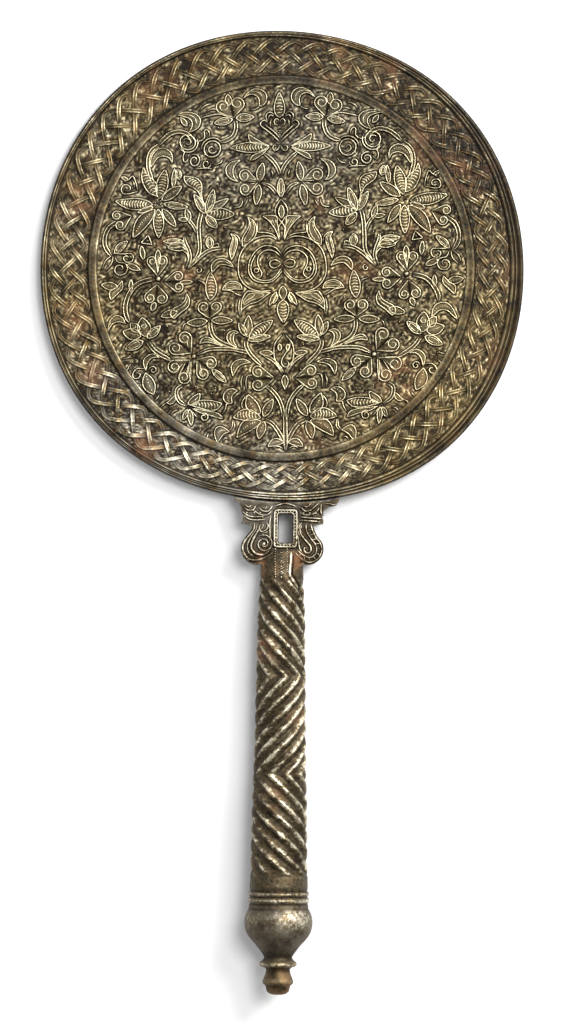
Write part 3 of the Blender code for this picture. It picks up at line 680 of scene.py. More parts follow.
def middle_side():
    """Long stems beside the lobes, with a bud, leaves and a small curl."""
    art.stem(((31.9, 23), (32.8, 18), (33, 12), (33, 8), (34, 5), (36.4, 1.6)), 1.2)
    art.stem(((33.6, 14.6), (34.8, 17.6), (36.6, 19.8), (38, 21.6)), 0.9)
    art.stem(((24, 8.6), (28, 8.1), (31.4, 6.2), (34.6, 3.4), (37.4, 0.4)), 1.1)
    art.stem(((38, 0.6), (36.9, 4.4), (37.6, 7.8), (38.8, 10.6), (39, 13.6)), 1)
    art.leaves((36.4, 19.4, 38.2, 24.6, 2.2, "rib"), (37, 20, 41.4, 20.6, 1.6, "none"),
               (28.4, 8.4, 28.8, 13.4, 3.2, "double"), (38.6, 8.4, 45.6, 8.6, 3.6, "rib", 0.12),
               (39.4, 11.2, 47.4, 11.4, 2.4, "double"))
    art.curl(25.6, 9.6, 1.2, 0, 1)
    art.path((38.2, 7), (40, 9), (44, 8.6), (47, 10.6))
    art.path((37.6, 3.2), (38, 6), (40.4, 8))
    art.curl(33.3, -0.4, 1.4, 90, 1.2)
    art.dots([(29.6, 17), (36.6, 14), (44.6, 13.4), (42.6, 5.6), (31, 2)])


def under_medallion():
    """Curved leaves under the lobes and the hanging palmette on the axis."""
    art.blade((16, -8.4), (24.6, -8.2), ((17, -6), (20, -5), (22.6, -5.8)), ((19, -8.1), (22, -8.3)),
              "double")
    art.path((16.2, -11), (18.4, -10.2), (20.2, -9), (22, -8.5), (24.6, -8.3))
    art.blade((5, -10), (16.4, -16.8), ((8, -12.2), (10, -13.4), (13, -14.2), (15, -15.4)),
              ((10.6, -9.8), (13.6, -9.2), (15.4, -11), (16.5, -14)), "double")
    art.path((10.6, -10), (11.6, -11.4), (13.4, -12.4), (15, -13.4), (15.8, -15.4))
    art.leaf(2.6, -9.6, 5.6, -15, 1.6, "none")
    art.leaf(2.2, -10.6, 3.9, -14.2, 1.2, "none")
    art.stem(((16.4, -12), (17, -15), (17, -19)), 1)
    art.leaves((14, -28, 4.2, -20.8, 4.4, "hatch"), (14.4, -28.6, 5, -27.4, 2.6, "double"),
               (14.6, -27.4, 13.8, -18.8, 3.2, "rib"), (15, -27, 17.8, -21.6, 2.4, "rib"))
    art.dots([(3, -15.8), (8.4, -17.4), (20, -12.4), (20.6, -15.6), (9, -24.6)])
    art.sides = RIGHT
    art.leaf(0, -7.2, 0, -12.8, 3, "dots")
    art.leaf(0, -12.8, 0, -22, 4.6, "hatch", full=0.4)
    art.dots([(0.4, -24.8)])
    art.sides = BOTH


def side_hearts():
    """Hearts about the knot that joins the stems at each side of the middle."""
    art.leaf(29.2, -12.4, 28.4, -1.2, 4.2, "hatch")
    art.path((30.8, -6.6), (31.8, -5.2), (33.8, -4.4))
    art.heart(29.2, -19.8, 29.2, -12.8, 9.6)
    art.leaf(28.4, -20.6, 20, -20.8, 2.8)
    art.leaf(30.2, -20.8, 38.6, -21.2, 3)
    art.path((38.6, -21.2), (39.8, -22), (40.4, -24))
    art.stem(((28.9, -21), (28.8, -24), (27.6, -27), (24.6, -29.4), (18, -32.4)), 1.2)
    art.heart(47.4, -4.5, 39.4, -4.7, 8.8)
    art.leaf(41, -5.1, 35.8, -5.2, 1.6, "none")
    art.blade((38.4, -9.8), (43.6, -19.8), ((37.3, -12.4), (38, -15), (40.6, -17)),
              ((39.2, -12.6), (41.4, -14.4), (44, -15.8), (45, -18)))
    art.heart(50.2, -5.6, 50.9, -13.4, 9)
    art.leaf(51, -12.8, 52.4, -16, 2, "none")
    art.leaf(42.2, -17, 48.8, -18.6, 3)
    art.dots([(24.6, -12), (34.2, -12.6), (33.6, -9), (24, -16.6), (34.8, -17), (33.6, -25.4),
              (23.4, -24.6), (47, -9.6), (54.8, -8.6), (46.4, -22.4)])


def lower_outer():
    """Stem along the ring, comma leaves and the third flower."""
    art.sides = LEFT
    art.stem(((52, -3.3), (57, -4.8), (60.4, -7.8), (62.4, -11.4), (63, -15), (62.4, -18), (61.2, -20.8)),
             1.4)
    art.blade((63, -20.8), (70.2, -24.4), ((64.2, -18.4), (66.2, -17.6), (68.2, -18.8), (69.4, -21)),
              ((64.8, -20.2), (66.8, -20.4), (68.6, -21.8)), "dots")
    art.sides = RIGHT
    art.stem(((52, -3.3), (57, -4.8), (60, -7.8), (61.9, -11.4), (62.3, -14.6)), 1.4)
    art.blade((59.3, -20.6), (69.6, -21.8),
              ((59.7, -17.8), (61, -15.8), (63, -14.9), (65.2, -15), (67, -16.4), (68.2, -18.6)),
              ((60.8, -19.4), (62, -18.2), (63.8, -17.8), (66, -18.4), (67.4, -20)), "dots")
    art.sides = BOTH
    art.leaf(60.8, -8.6, 60.6, -3.6, 1.6, "none")
    art.blade((64.2, -4.2), (68.6, -11.8), ((64, -7), (66, -9.2)), ((66.4, -6.6), (69, -8.6)))
    art.leaf(66, -6.6, 72.2, -5.4, 3)
    art.leaves((55.4, -26.6, 56.2, -18.4, 5.2, "none"), (57.8, -24.6, 61, -20.6, 3.4, "none"),
               (54.8, -27.2, 49.2, -22.2, 3.2, "double"), (57.2, -26.4, 64.2, -24.4, 4.6, "rib"),
               (56.4, -28.4, 63.4, -31.8, 3.4, "double"))
    art.curl(56, -22, 1.4, 90, 1.3)
    art.curl(59.6, -22.4, 0.9, 90, 1)
    art.dots([(55, -24.4), (57, -24.6), (58.4, -26), (64, -29), (53.4, -12), (56.6, -12.4), (47.6, -27.6)])
    art.stem(((54.6, -28.6), (52.6, -31.4), (50, -33.6), (45.6, -36.2)), 1.2)


def ogive():
    """The pointed double arch on the axis, with the S that curls through it."""
    art.path((0.6, -26.4), (1.8, -28), (3.3, -30), (3.9, -32.6), (3.7, -36), (2.6, -39), (0.4, -41.8))
    art.leaf(1.6, -30.4, 1.6, -33.4, 1.4, "none")
    art.sides = RIGHT
    art.path((2.6, -29.6), (2.2, -31.8), (0.6, -34.2), (-0.9, -36.6), (-0.9, -38.6), (0.5, -39.7),
             (1.8, -38.8), (1.6, -37.4), (0.4, -37.2))
    art.leaf(0.2, -48.6, 0.2, -42.8, 2.6, "rib", full=0.6)
    art.sides = BOTH
    art.leaf(4.2, -34.2, 9.6, -33.7, 2)
    art.stem(((0.4, -42.2), (2.6, -38.8), (5, -36.4), (8, -34.8)), 0.9)
    art.stem(((15, -28.6), (15.1, -31), (13.5, -34), (11.2, -36.4), (8.4, -39)), 1.2)
    art.stem(((14, -33.8), (17.4, -33), (21, -32.2), (28, -32.1), (31.4, -32.8), (34.8, -34.4)), 1.1)
    art.blade((18, -25.5), (18.4, -32.2), ((20, -24.6), (22.2, -25.8), (22.6, -27.8), (21.6, -29.8)),
              ((19.7, -26), (20.2, -27.6), (19.9, -29.4)))
    art.blade((13.2, -37.7), (20.2, -43), ((15.8, -36.5), (18.2, -36.7), (20.2, -37.8), (21, -39.6)),
              ((16, -38.2), (18, -39.1), (19.2, -40.8)), "dots")
    art.heart(4.3, -44, 13.2, -43.6, 9.8)
    art.line([(5.4, -43.6), (8.4, -42.4)])
    art.path((12.8, -42.4), (14.6, -42.7), (15.2, -45), (15, -48))
    art.path((16.2, -42.4), (17, -45), (16.6, -48))
    art.dots([(7.8, -30.6), (10.4, -30), (9.6, -41.8), (18.6, -44.6), (22.4, -35), (6.6, -40.6),
              (17.6, -34.8)])


def lower_knot():
    """The knot where five stems meet, with a broad heart in each corner."""
    art.dots([(36, -35.1)], 0.95)
    art.blade((24, -31), (33.6, -29.6), ((26.4, -29.2), (29, -27.6), (31, -26.9), (32.8, -27.9)),
              ((27, -29.9), (29.4, -29.2), (31.4, -29)))
    for x0, y0, x1, y1, width in ((37, -33.6, 43.6, -27.2, 11.4), (37.2, -36.6, 44.4, -43.2, 11.6),
                                  (34.8, -36.4, 28.6, -41.6, 10.6)):
        art.heart(x0, y0, x1, y1, width)
    art.strokes((39.6, -34.4, 44.8, -33.6), (38.2, -31.4, 38.8, -27.6), (39.6, -37.6, 43, -43.4),
                (40.6, -37.8, 45, -42.2), (38.6, -38.8, 39.2, -44.2), (33.6, -37.8, 32.6, -43.6),
                (32.4, -37.8, 28, -38.4), (40.2, -31.4, 42.2, -29.4))
    art.path((38, -36.4), (42.6, -36.6), (47.4, -36.3))
    art.path((37.8, -36.8), (38.2, -40.6), (37.2, -46.4))
    art.leaf(28.6, -40.4, 22.9, -45.4, 2.6, "double")
    art.stem(((41.2, -46.6), (43.2, -48), (43.4, -50.2), (42.2, -52.8), (39.2, -54.8)), 1.1)
    art.dots([(24.6, -38), (23.6, -41), (48.6, -30), (34.6, -30.6), (48.4, -39.6), (35.4, -47.2)])


def lower_scroll():
    """Bent stem by the ring with a spiral at its shoulder and a hanging leaf."""
    art.blade((50, -34.9), (55.4, -40.4), ((52.2, -33.5), (54.4, -34), (56, -35.6), (56.3, -37.4)),
              ((52.4, -34.8), (54.2, -36.2), (55, -38)), "none")
    art.path((56, -39.2), (58.8, -39.2), (60, -40), (60.9, -41.6), (60.4, -43), (58.6, -43), (57.8, -41.6),
             (58.8, -40.8), (59.6, -41.4))
    art.curl(52.6, -39.9, 1.7, 0, 1.4)
    art.blade((55.6, -41), (52.4, -49.8), ((56.8, -43.4), (56.9, -46), (55.4, -48.2)),
              ((53.2, -43.4), (52, -46.4)), "dots")
    art.path((50.2, -49.8), (51, -51.2), (52.2, -52.2))
    art.path((61.4, -37.6), (62.6, -39), (63.2, -41))
    art.path((61.2, -33.8), (62.4, -35), (64.6, -35.4))
    art.dots([(58.6, -45.6), (59.4, -35.8), (61.4, -35), (48.8, -44.6), (49.6, -47.4), (65.6, -26.6)])


def trunk():
    """Double stem that rises from the bottom of the ring and forks."""
    art.sides = RIGHT
    art.stem(((0, -58), (0, -64), (0, -73)), 1.3)
    art.sides = BOTH
    art.stem(((0.6, -60), (1.1, -56), (2.5, -52.2), (5, -49), (8, -46.4)), 1.1)
    art.stem(((8.4, -60.6), (5.4, -62.2), (3.6, -64.2), (2, -66.8), (0.9, -69.4)), 1.2)
    art.leaf(0.9, -69.6, 7, -71.6, 2.8, "rib", 0.16)
    art.path((1.2, -72.4), (2.4, -71.4), (4.2, -71.4), (5.2, -72.2))
    art.dots([(3.4, -58.6), (4.6, -57), (2.8, -60.6), (7.6, -51), (5.4, -68), (9.8, -71), (11.6, -69.6)])


def bottom_flower():
    """The flower at the foot, its petals beaded or with shells of bent strokes."""
    art.leaves((8.8, -59.2, 4.6, -52.3, 3.2, "dots"), (10, -58, 14.4, -50.2, 4.6, "dots", -0.1),
               (10, -59.6, 20.7, -59.6, 4.8, "hatch", 0.1), (10, -61.2, 19.3, -67.6, 4.6, "dots", 0.14),
               (8.8, -61.4, 10.6, -68.4, 3.4, "dots", 0.05))
    art.path((14.4, -50.2), (16.2, -52.4), (16.9, -54.8), (16, -56.2))
    art.blade((18.4, -48.8), (20.4, -53.6),
              ((20, -47.9), (22.4, -48.2), (24, -50), (24, -52), (22.4, -53.6)),
              ((19.8, -49.6), (20.8, -51), (20.8, -52.6)), "dots")
    art.path((20.8, -53.6), (22.8, -53.6), (23.4, -55.8), (24.8, -58))
    art.blade((22.4, -65.2), (27.6, -69.4), ((24.6, -63.6), (26.6, -63.2), (27.9, -64.6), (28.2, -66.6)),
              ((24.2, -66), (25.4, -67), (26.8, -68.8)))
    art.stem(((22.2, -65.4), (20.8, -63.4), (20.9, -60.4)), 0.9)
    art.path((22.8, -68.2), (24, -67.6), (25.2, -69))
    art.dots([(12.4, -52), (11.6, -49.4), (17, -68), (14.6, -68.8), (22.6, -61.6), (18.6, -54.6),
              (15.2, -58.4)])


def foot_flower():
    """Small flower between the knot and the foot of the ring."""
    art.leaf(38.6, -54.2, 33.7, -49.8, 3, "rib", 0.1)
    art.blade((37.6, -54.6), (24.6, -53.4), ((34, -52.8), (30, -52.2), (27, -52.6)),
              ((34, -55.6), (30, -56.2), (26.6, -55.6)), "hatch")
    art.blade((36.8, -56), (24.6, -60), ((33, -56.4), (29, -56.8), (26, -57.8)),
              ((33.6, -57.6), (29.6, -58.4), (26.8, -59.4)), "none")
    art.curl(32.2, -59.3, 2, 60, 1.5)
    art.path((37.2, -56.6), (36.2, -58.2), (34.8, -59.8))
    art.leaf(38, -56.2, 37.4, -62.8, 2, "rib")
    art.leaf(38.8, -56.2, 40.6, -60.4, 1.8, "rib")
    art.blade((43.7, -50.4), (47.4, -53.4), ((44, -52.6), (45.6, -53.9)), ((45.2, -51.4), (46.2, -52.6)),
              "none")
    art.path((47.2, -53.2), (48.6, -54), (49.8, -55.4))
    art.path((30.4, -65.8), (31.2, -67), (31.4, -68.6))
    art.path((42.8, -56.2), (44.4, -56.8), (45.6, -58.2))
    art.dots([(41.6, -57.6), (32.6, -49), (29, -49.6), (31, -62.6), (34, -63.4), (33, -66.6), (41, -61),
              (46.4, -48.8), (27.4, -47.4)])


for motif in (crown, calyx, upper_axis, upper_side, star_flower, inner_flower, outer_scrolls, medallion,
              medallion_crown, middle_side, under_medallion, side_hearts, lower_outer, ogive, lower_knot,
              lower_scroll, trunk, bottom_flower, foot_flower):
    motif()

# --- materials --------------------------------------------------------------------------------


class Nodes:
    """Short hand for a material's node tree."""

    def __init__(self, name):
        self.material = bpy.data.materials.new(name)
        self.material.use_nodes = True
        self.tree = self.material.node_tree
        self.shader = self.tree.nodes["Principled BSDF"]

    def put(self, value, socket):
        if isinstance(value, bpy.types.NodeSocket):
            self.tree.links.new(value, socket)
        else:
            socket.default_value = value

    def attribute(self, name, output="Fac"):
        node = self.tree.nodes.new("ShaderNodeAttribute")
        node.attribute_name = name
        return node.outputs[output]

    def math(self, operation, a, b):
        node = self.tree.nodes.new("ShaderNodeMath")
        node.operation = operation
        for i, value in enumerate((a, b)):
            self.put(value, node.inputs[i])
        return node.outputs[0]

    def noise(self, scale, detail, rough, stretch=(1, 1, 1)):
        where = self.tree.nodes.new("ShaderNodeTexCoord")
        mapping = self.tree.nodes.new("ShaderNodeMapping")
        mapping.inputs["Scale"].default_value = stretch
        node = self.tree.nodes.new("ShaderNodeTexNoise")
        node.inputs["Scale"].default_value = scale
        node.inputs["Detail"].default_value = detail
        node.inputs["Roughness"].default_value = rough
        self.tree.links.new(where.outputs["Object"], mapping.inputs["Vector"])
        self.tree.links.new(mapping.outputs["Vector"], node.inputs["Vector"])
        return node.outputs["Fac"]

    def spread(self, value, low, high, to_low=0.0, to_high=1.0):
        node = self.tree.nodes.new("ShaderNodeMapRange")
        self.put(value, node.inputs["Value"])
        for name, number in (("From Min", low), ("From Max", high), ("To Min", to_low),
                             ("To Max", to_high)):
            node.inputs[name].default_value = number
        return node.outputs["Result"]

    def ramp(self, value, stops):
        node = self.tree.nodes.new("ShaderNodeValToRGB")
        self.put(value, node.inputs["Fac"])
        while len(node.color_ramp.elements) < len(stops):
            node.color_ramp.elements.new(0.5)
        for element, (at, colour) in zip(node.color_ramp.elements, stops):
            element.position = at
            element.color = (*colour, 1.0)
        return node.outputs["Color"]

    def mix(self, share, a, b):
        node = self.tree.nodes.new("ShaderNodeMix")
        node.data_type = "RGBA"
        self.put(share, node.inputs["Factor"])
        for value, socket in ((a, node.inputs["A"]), (b, node.inputs["B"])):
            self.put(value if isinstance(value, bpy.types.NodeSocket) else (*value, 1.0), socket)
        return node.outputs["Result"]

    def parts(self, colour):
        node = self.tree.nodes.new("ShaderNodeSeparateColor")
        self.put(colour, node.inputs["Color"])
        return node.outputs

    def bump(self, height, strength, distance):
        node = self.tree.nodes.new("ShaderNodeBump")
        node.inputs["Strength"].default_value = strength
        node.inputs["Distance"].default_value = distance
        self.put(height, node.inputs["Height"])
        self.tree.links.new(node.outputs["Normal"], self.shader.inputs["Normal"])


DARK_GOLD, BRIGHT_GOLD = (0.08, 0.055, 0.02), (0.76, 0.60, 0.30)
DARK_SILVER, BRIGHT_SILVER = (0.05, 0.046, 0.038), (0.80, 0.76, 0.66)
DARK_STAIN, BRIGHT_STAIN = (0.045, 0.019, 0.006), (0.44, 0.29, 0.105)
RUST_CRUST, PAINTED_SHADE_COLOUR = (0.40, 0.18, 0.065), (0.012, 0.012, 0.014)
METALLIC = 0.92


def speckled_patina(nodes, worn, fine, cloud, stops, speckled):
    """Dark in the hollows and bright on the tops, broken up by specks and clouds."""
    specks = nodes.spread(fine, 0.3, 0.62, 1.15 - speckled, 1.15 + 0.15 * speckled)
    mottled = nodes.math("MULTIPLY", worn, specks)
    mottled = nodes.math("MULTIPLY", mottled, nodes.spread(cloud, 0.3, 0.7, 0.6, 1.2))
    level = nodes.math("ADD", mottled, nodes.spread(fine, 0.35, 0.7, -0.07, 0.04))
    return nodes.ramp(level, stops)


def with_coats(nodes, colour, worn, cloud, tint, stained):
    """Remains of gilding and silvering, and brown stains, over the patina."""
    patchy = nodes.spread(cloud, 0.40, 0.56, 0.1, 1.0)
    for channel, deep, top in (("Green", DARK_GOLD, BRIGHT_GOLD), ("Blue", DARK_SILVER, BRIGHT_SILVER)):
        share = nodes.math("MULTIPLY", nodes.math("MULTIPLY", tint[channel], patchy), 0.6)
        colour = nodes.mix(share, colour, nodes.mix(worn, deep, top))
    stains = nodes.spread(nodes.noise(380, 3.0, 0.55), 0.50, 0.64, 0.0, stained)
    return nodes.mix(stains, colour, nodes.mix(worn, DARK_STAIN, BRIGHT_STAIN))


def aged_steel(name, dark, middle, bright, rust=(0.15, 0.058, 0.022), stained=0.22, speckled=0.75):
    """Old steel: brown patina in the hollows, worn tops, patches of rust, gold and silver, and painted
    shade.
    """
    nodes = Nodes(name)
    fine = nodes.noise(900, 6.0, 0.65)
    cloud = nodes.noise(140, 5.0, 0.6)
    worn = nodes.attribute("wear")
    tint = nodes.parts(nodes.attribute("tint", "Color"))
    shade = nodes.attribute("tint", "Alpha")
    stops = ((0.0, dark), (0.38, middle), (0.9, bright))
    colour = speckled_patina(nodes, worn, fine, cloud, stops, speckled)
    colour = with_coats(nodes, colour, worn, cloud, tint, stained)
    crusty = nodes.math("MULTIPLY", fine, nodes.spread(worn, 0.0, 1.0, 0.4, 1.4))
    eaten = nodes.math("MULTIPLY", tint["Red"], nodes.spread(cloud, 0.44, 0.56, 0.0, 1.0))
    eaten = nodes.math("MULTIPLY", eaten, nodes.spread(worn, 0.0, 1.0, 1.0, 0.5))
    colour = nodes.mix(eaten, colour, nodes.mix(crusty, rust, RUST_CRUST))
    # painted shade: the colour is pulled toward near-black where the shade patches lie
    colour = nodes.mix(nodes.math("MULTIPLY", shade, 0.55), colour, PAINTED_SHADE_COLOUR)
    metal = nodes.math("SUBTRACT", METALLIC, nodes.math("MULTIPLY", eaten, METALLIC * 0.8))
    rough = nodes.spread(worn, 0.0, 1.0, 0.62, 0.36)
    rough = nodes.math("ADD", rough, nodes.spread(fine, 0.3, 0.7, -0.05, 0.1))
    rough = nodes.math("ADD", rough, nodes.math("MULTIPLY", eaten, 0.25))
    for value, socket in ((colour, "Base Color"), (metal, "Metallic"), (rough, "Roughness")):
        nodes.put(value, nodes.shader.inputs[socket])
    nodes.bump(nodes.math("ADD", fine, nodes.math("MULTIPLY", cloud, 0.5)), 0.5, 0.00022)
    return nodes.material


line_steel = aged_steel("engraved_line_steel", (0.012, 0.009, 0.005), (0.15, 0.118, 0.068),
                        (0.66, 0.61, 0.42))
leaf_steel = aged_steel("leaf_steel", (0.012, 0.009, 0.005), (0.10, 0.084, 0.045), (0.34, 0.297, 0.18),
                        speckled=0.95)
ground_steel = aged_steel("ground_steel", (0.012, 0.009, 0.0055), (0.105, 0.087, 0.049),
                          (0.43, 0.385, 0.24))
rim_steel = aged_steel("rim_steel", (0.012, 0.010, 0.008), (0.13, 0.109, 0.064), (0.72, 0.665, 0.47),
                       stained=0.45, speckled=0.9)
plait_steel = aged_steel("plait_steel", (0.009, 0.007, 0.0045), (0.105, 0.084, 0.044), (0.82, 0.75, 0.50),
                         stained=0.6, speckled=1.0)
handle_steel = aged_steel("handle_steel", (0.010, 0.007, 0.004), (0.107, 0.084, 0.051), (0.78, 0.715, 0.54),
                          rust=(0.13, 0.045, 0.018))

# --- the arabesque's pieces ----------------------------------------------------------------
for part, lines in art.lines.items():
    lines.build("arabesque_lines_" + part, PLATE_POSE, line_steel, "carved_steel")
art.bodies.build("arabesque_leaves", PLATE_POSE, leaf_steel, "carved_steel")


# --- matted ground of the field: short strokes that echo the nearest line ------------------
STEP_X, STEP_Y = 0.46, 0.42
FIELD_HALF, FIELD_RADIUS, FIELD_UNDERSIDE = 74.2, 74.6, -1.0
ECHO, LINE_CLEAR = 1.45, 0.35    # from one stroke to the next, and the room a line takes up


def line_gap(x, y):
    """Distance from each point to the nearest engraved line."""
    traced = np.concatenate(art.traces)
    tree = KDTree(len(traced))
    for i, (a, b) in enumerate(traced):
        tree.insert((a, b, 0), i)
    tree.balance()
    return np.array([tree.find((a, b, 0))[2] for a, b in zip(x, y)])


def ground_strokes(x, y, gap):
    """Short strokes beside the lines, mixed with a fine grain, both around 0."""
    strong = np.clip(0.45 + 1.3 * value_noise(x / 1.7 + 90, y / 1.7 + 90, 14), 0, 1)
    echo = -np.cos(TAU * (gap - LINE_CLEAR) / ECHO) * strong
    grain = value_noise(x / 0.85 + 200, y / 0.75 + 200, 11)
    return 0.62 * echo + 0.68 * grain


def quads_of(inside):
    """Corner numbers of the grid's cells that lie wholly inside."""
    number = -np.ones(inside.shape, dtype=int)
    number[inside] = np.arange(inside.sum())
    corners = [number[:-1, :-1], number[:-1, 1:], number[1:, 1:], number[1:, :-1]]
    quads = np.stack(corners, axis=-1).reshape(-1, 4)
    return quads[(quads >= 0).all(axis=1)].tolist()


def build_ground():
    far = FIELD_HALF + 0.01
    plan_x, plan_y = np.meshgrid(np.arange(-FIELD_HALF, far, STEP_X), np.arange(-FIELD_HALF, far, STEP_Y))
    inside = np.hypot(plan_x, plan_y) < FIELD_RADIUS
    x, y = plan_x[inside], plan_y[inside]
    gap = line_gap(x, y)
    strokes = ground_strokes(x, y, gap)
    slow = value_noise(x / 5.0 + 200, y / 4.0 + 200, 12)
    beside = np.clip((gap - LINE_CLEAR) / 0.5, 0, 1)
    height = GROUND_Z + (0.17 * strokes + 0.06 * slow) * beside
    # the ground is darkest right beside the lines: partly dark patina, partly painted shade
    wear = np.clip(0.02 + (0.18 + 0.66 * strokes + 0.12 * slow) * beside, 0, 1)
    ground = Relief()
    ground.add(np.column_stack([x, y, height]), quads_of(inside), wear)
    ground.build("field_ground", PLATE_POSE, ground_steel, "carved_steel",
                 underside=FIELD_UNDERSIDE)


build_ground()

# --- rim, border ground and ring, one closed loft round the plate --------------------------
STATIONS = 1080
BORDER_MIDDLE = 86      # mean radius of the border, which makes turns into millimetres
SHELF_INNER = 72.8      # the loft's inner wall, under the ring
turns = np.arange(STATIONS) * TAU / STATIONS
edge, inner_edge = rim_radius(turns), border_radius(turns)
band = edge - inner_edge
profile = []


def noise_around(pitch, row, seed, shift=0.0):
    """Smooth values round the plate that change over so many millimetres."""
    return value_noise(turns * BORDER_MIDDLE / pitch + shift, np.full(STATIONS, row), seed)


def about(centre, spread):
    """Fades from 1 at a bearing in degrees to 0 away from it."""
    away = (np.degrees(turns) - centre + 180) % 360 - 180
    return np.exp(-(away / spread) ** 2)


hand_cut = 0.10 * noise_around(2.5, 3.0, 21)
broken = 0.75 + 0.35 * noise_around(3.5, 9.0, 22)
# painted highlight on the rim by the handle's seat; painted shade on the rim at the lower left and at the
# right
seat_highlight = about(270, 9)
lower_left = about(228, 38)
shaded_sides = np.maximum(lower_left, about(345, 42))
# painted highlight on the lip at the left, where the lip also sits a little further in
lit_left_side = about(155, 45)
lip = edge - 0.3 * lit_left_side
# the ring's top is also made lighter toward the lower left
scratched = 0.5 + 0.5 * noise_around(0.7, 5.0, 23) + 0.6 * lower_left


def section(radius, z, wear, highlight_share=0.0, shade_share=0.0):
    """One more line of the loft, with a painted highlight where the handle is seated and painted shade at
    two sides.
    """
    worn = wear * broken * (1 - shade_share * shaded_sides) + highlight_share * seat_highlight
    profile.append((np.full(STATIONS, radius), np.full(STATIONS, z), worn))


def bevelled_edge():
    """From the inner wall under the plate, out round the edge and up to the lip."""
    section(SHELF_INNER, -1.6, 0.0)
    section(edge - 1.6, -2.35, 0.3)
    section(edge - 0.5, -1.9, 0.4)
    section(edge, -1.2, 0.1)
    section(edge - 0.05, 0.5, 0.0)
    section(lip - 0.5, 1.30, 0.05, 0.5)
    # painted highlight: the lip's top is brighter at the left
    section(lip - 0.75, 1.58, 0.80 + 0.3 * lit_left_side, 0.2, shade_share=0.6)
    section(lip - 1.0, 1.55, 0.35, 0.4, shade_share=0.8)


def rim_mouldings():
    """Two ridges between grooves, from the lip to the border's floor."""
    section(edge - band * 0.34, 1.50, 0.12, 0.6, shade_share=0.8)
    section(edge - band * 0.40, 1.10, 0.0)
    section(edge - band * 0.48 + hand_cut, 1.10, 0.0)
    section(edge - band * 0.52 + hand_cut, 1.68, 0.55, 0.5, shade_share=0.5)
    section(edge - band * 0.60 + hand_cut, 1.68, 0.45, 0.5, shade_share=0.5)
    section(edge - band * 0.64 + hand_cut, 1.12, 0.0)
    section(edge - band * 0.76, 1.12, 0.0)
    section(edge - band * 0.80, 1.84, 0.75, 0.3, shade_share=0.4)
    section(edge - band * 0.88, 1.86, 0.55, 0.4, shade_share=0.4)
    section(inner_edge - 0.1, 1.50, 0.15)
    section(inner_edge - 0.4, GROUND_Z, 0.0)


def border_ground():
    """Pitted floor under the plait."""
    width = inner_edge - RING_OUTER - 1.0
    for share in np.linspace(0.03, 0.97, 26):
        pitted = noise_around(0.75, 25 * share, 31, 40 * share)
        pitted += 0.6 * noise_around(1.6, 14 * share, 32)
        worn = np.clip(0.12 + 0.68 * pitted, 0, 1)
        section(inner_edge - 0.5 - share * width, GROUND_Z + 0.16 * pitted, worn)


def flat_ring():
    """The raised ring round the field, scratched along its top."""
    section(RING_OUTER + 0.35, GROUND_Z, 0.0)
    section(RING_OUTER, 1.75, 0.1)
    section(RING_OUTER - 0.25, RING_Z, 0.40)
    section(RING_OUTER - 0.8, RING_Z + 0.05, 0.34 * scratched)
    section(RING_INNER + 1.9, RING_Z + 0.06, 0.20 * np.roll(scratched, 9))
    section(RING_INNER + 1.2, RING_Z + 0.05, 0.34 * np.roll(scratched, 23))
    section(RING_INNER + 0.6, RING_Z, 0.36)
    section(RING_INNER + 0.2, RING_Z, 0.7)
    section(RING_INNER - 0.1, 1.8, 0.6)
    section(RING_INNER - 0.4, 0.7, 0.0)
    section(RING_INNER - 0.5, 0.4, 0.0)
    section(SHELF_INNER, 0.3, 0.0)


def build_rim():
    for stretch in (bevelled_edge, rim_mouldings, border_ground, flat_ring):
        stretch()
    rows = np.stack([np.column_stack([polar(r, turns), z]) for r, z, _ in profile], axis=1)
    rim = Relief()
    rim.grid(rows, np.stack([w for _, _, w in profile], axis=1), close_rows=True)
    rim.build("plate_rim", PLATE_POSE, rim_steel, "carved_steel", sharp=50)


build_rim()

# --- the mirror's face underneath, bright with polish ----------------------------------------
FACE_BACK_Z = -1.4


def polished_steel():
    """Bright steel under a thin haze, with pits and fine scratches."""
    nodes = Nodes("polished_steel")
    haze = nodes.noise(45, 6.0, 0.6)
    specks = nodes.noise(420, 5.0, 0.7)
    scratches = nodes.noise(60, 3.0, 0.5, (1, 14, 1))
    pits = nodes.spread(specks, 0.60, 0.68)
    clean = nodes.mix(nodes.spread(haze, 0.48, 0.66), (0.55, 0.54, 0.51), (0.30, 0.25, 0.18))
    nodes.put(nodes.mix(pits, clean, (0.09, 0.06, 0.035)), nodes.shader.inputs["Base Color"])
    nodes.shader.inputs["Metallic"].default_value = 0.95
    rough = nodes.math("ADD", nodes.spread(haze, 0.4, 0.7, 0.16, 0.42), nodes.math("MULTIPLY", pits, 0.3))
    nodes.put(rough, nodes.shader.inputs["Roughness"])
    nodes.bump(nodes.math("ADD", scratches, specks), 0.12, 0.0001)
    return nodes.material


def build_mirror_face():
    """Thin disc with a small chamfer, a point at every sixth station of the rim."""
    turn, border = turns[::6], edge[::6]
    rings = [(radius, FACE_Z) for radius in (0.02, 12, 24, 36, 48, 60, 72, 84)]
    rings += [(border - 1.2, FACE_Z), (border - 1.0, FACE_Z + 0.25)]
    rings += [(border - 1.6, FACE_BACK_Z), (0.02, FACE_BACK_Z)]
    rows = [np.column_stack([polar(radius + 0 * turn, turn), z + 0 * turn]) for radius, z in rings]
    mirror = Relief()
    mirror.grid(rows, 0.8, close_rows=True)
    mirror.build("mirror_face", PLATE_POSE, polished_steel(), "carved_steel", sharp=40)


build_mirror_face()

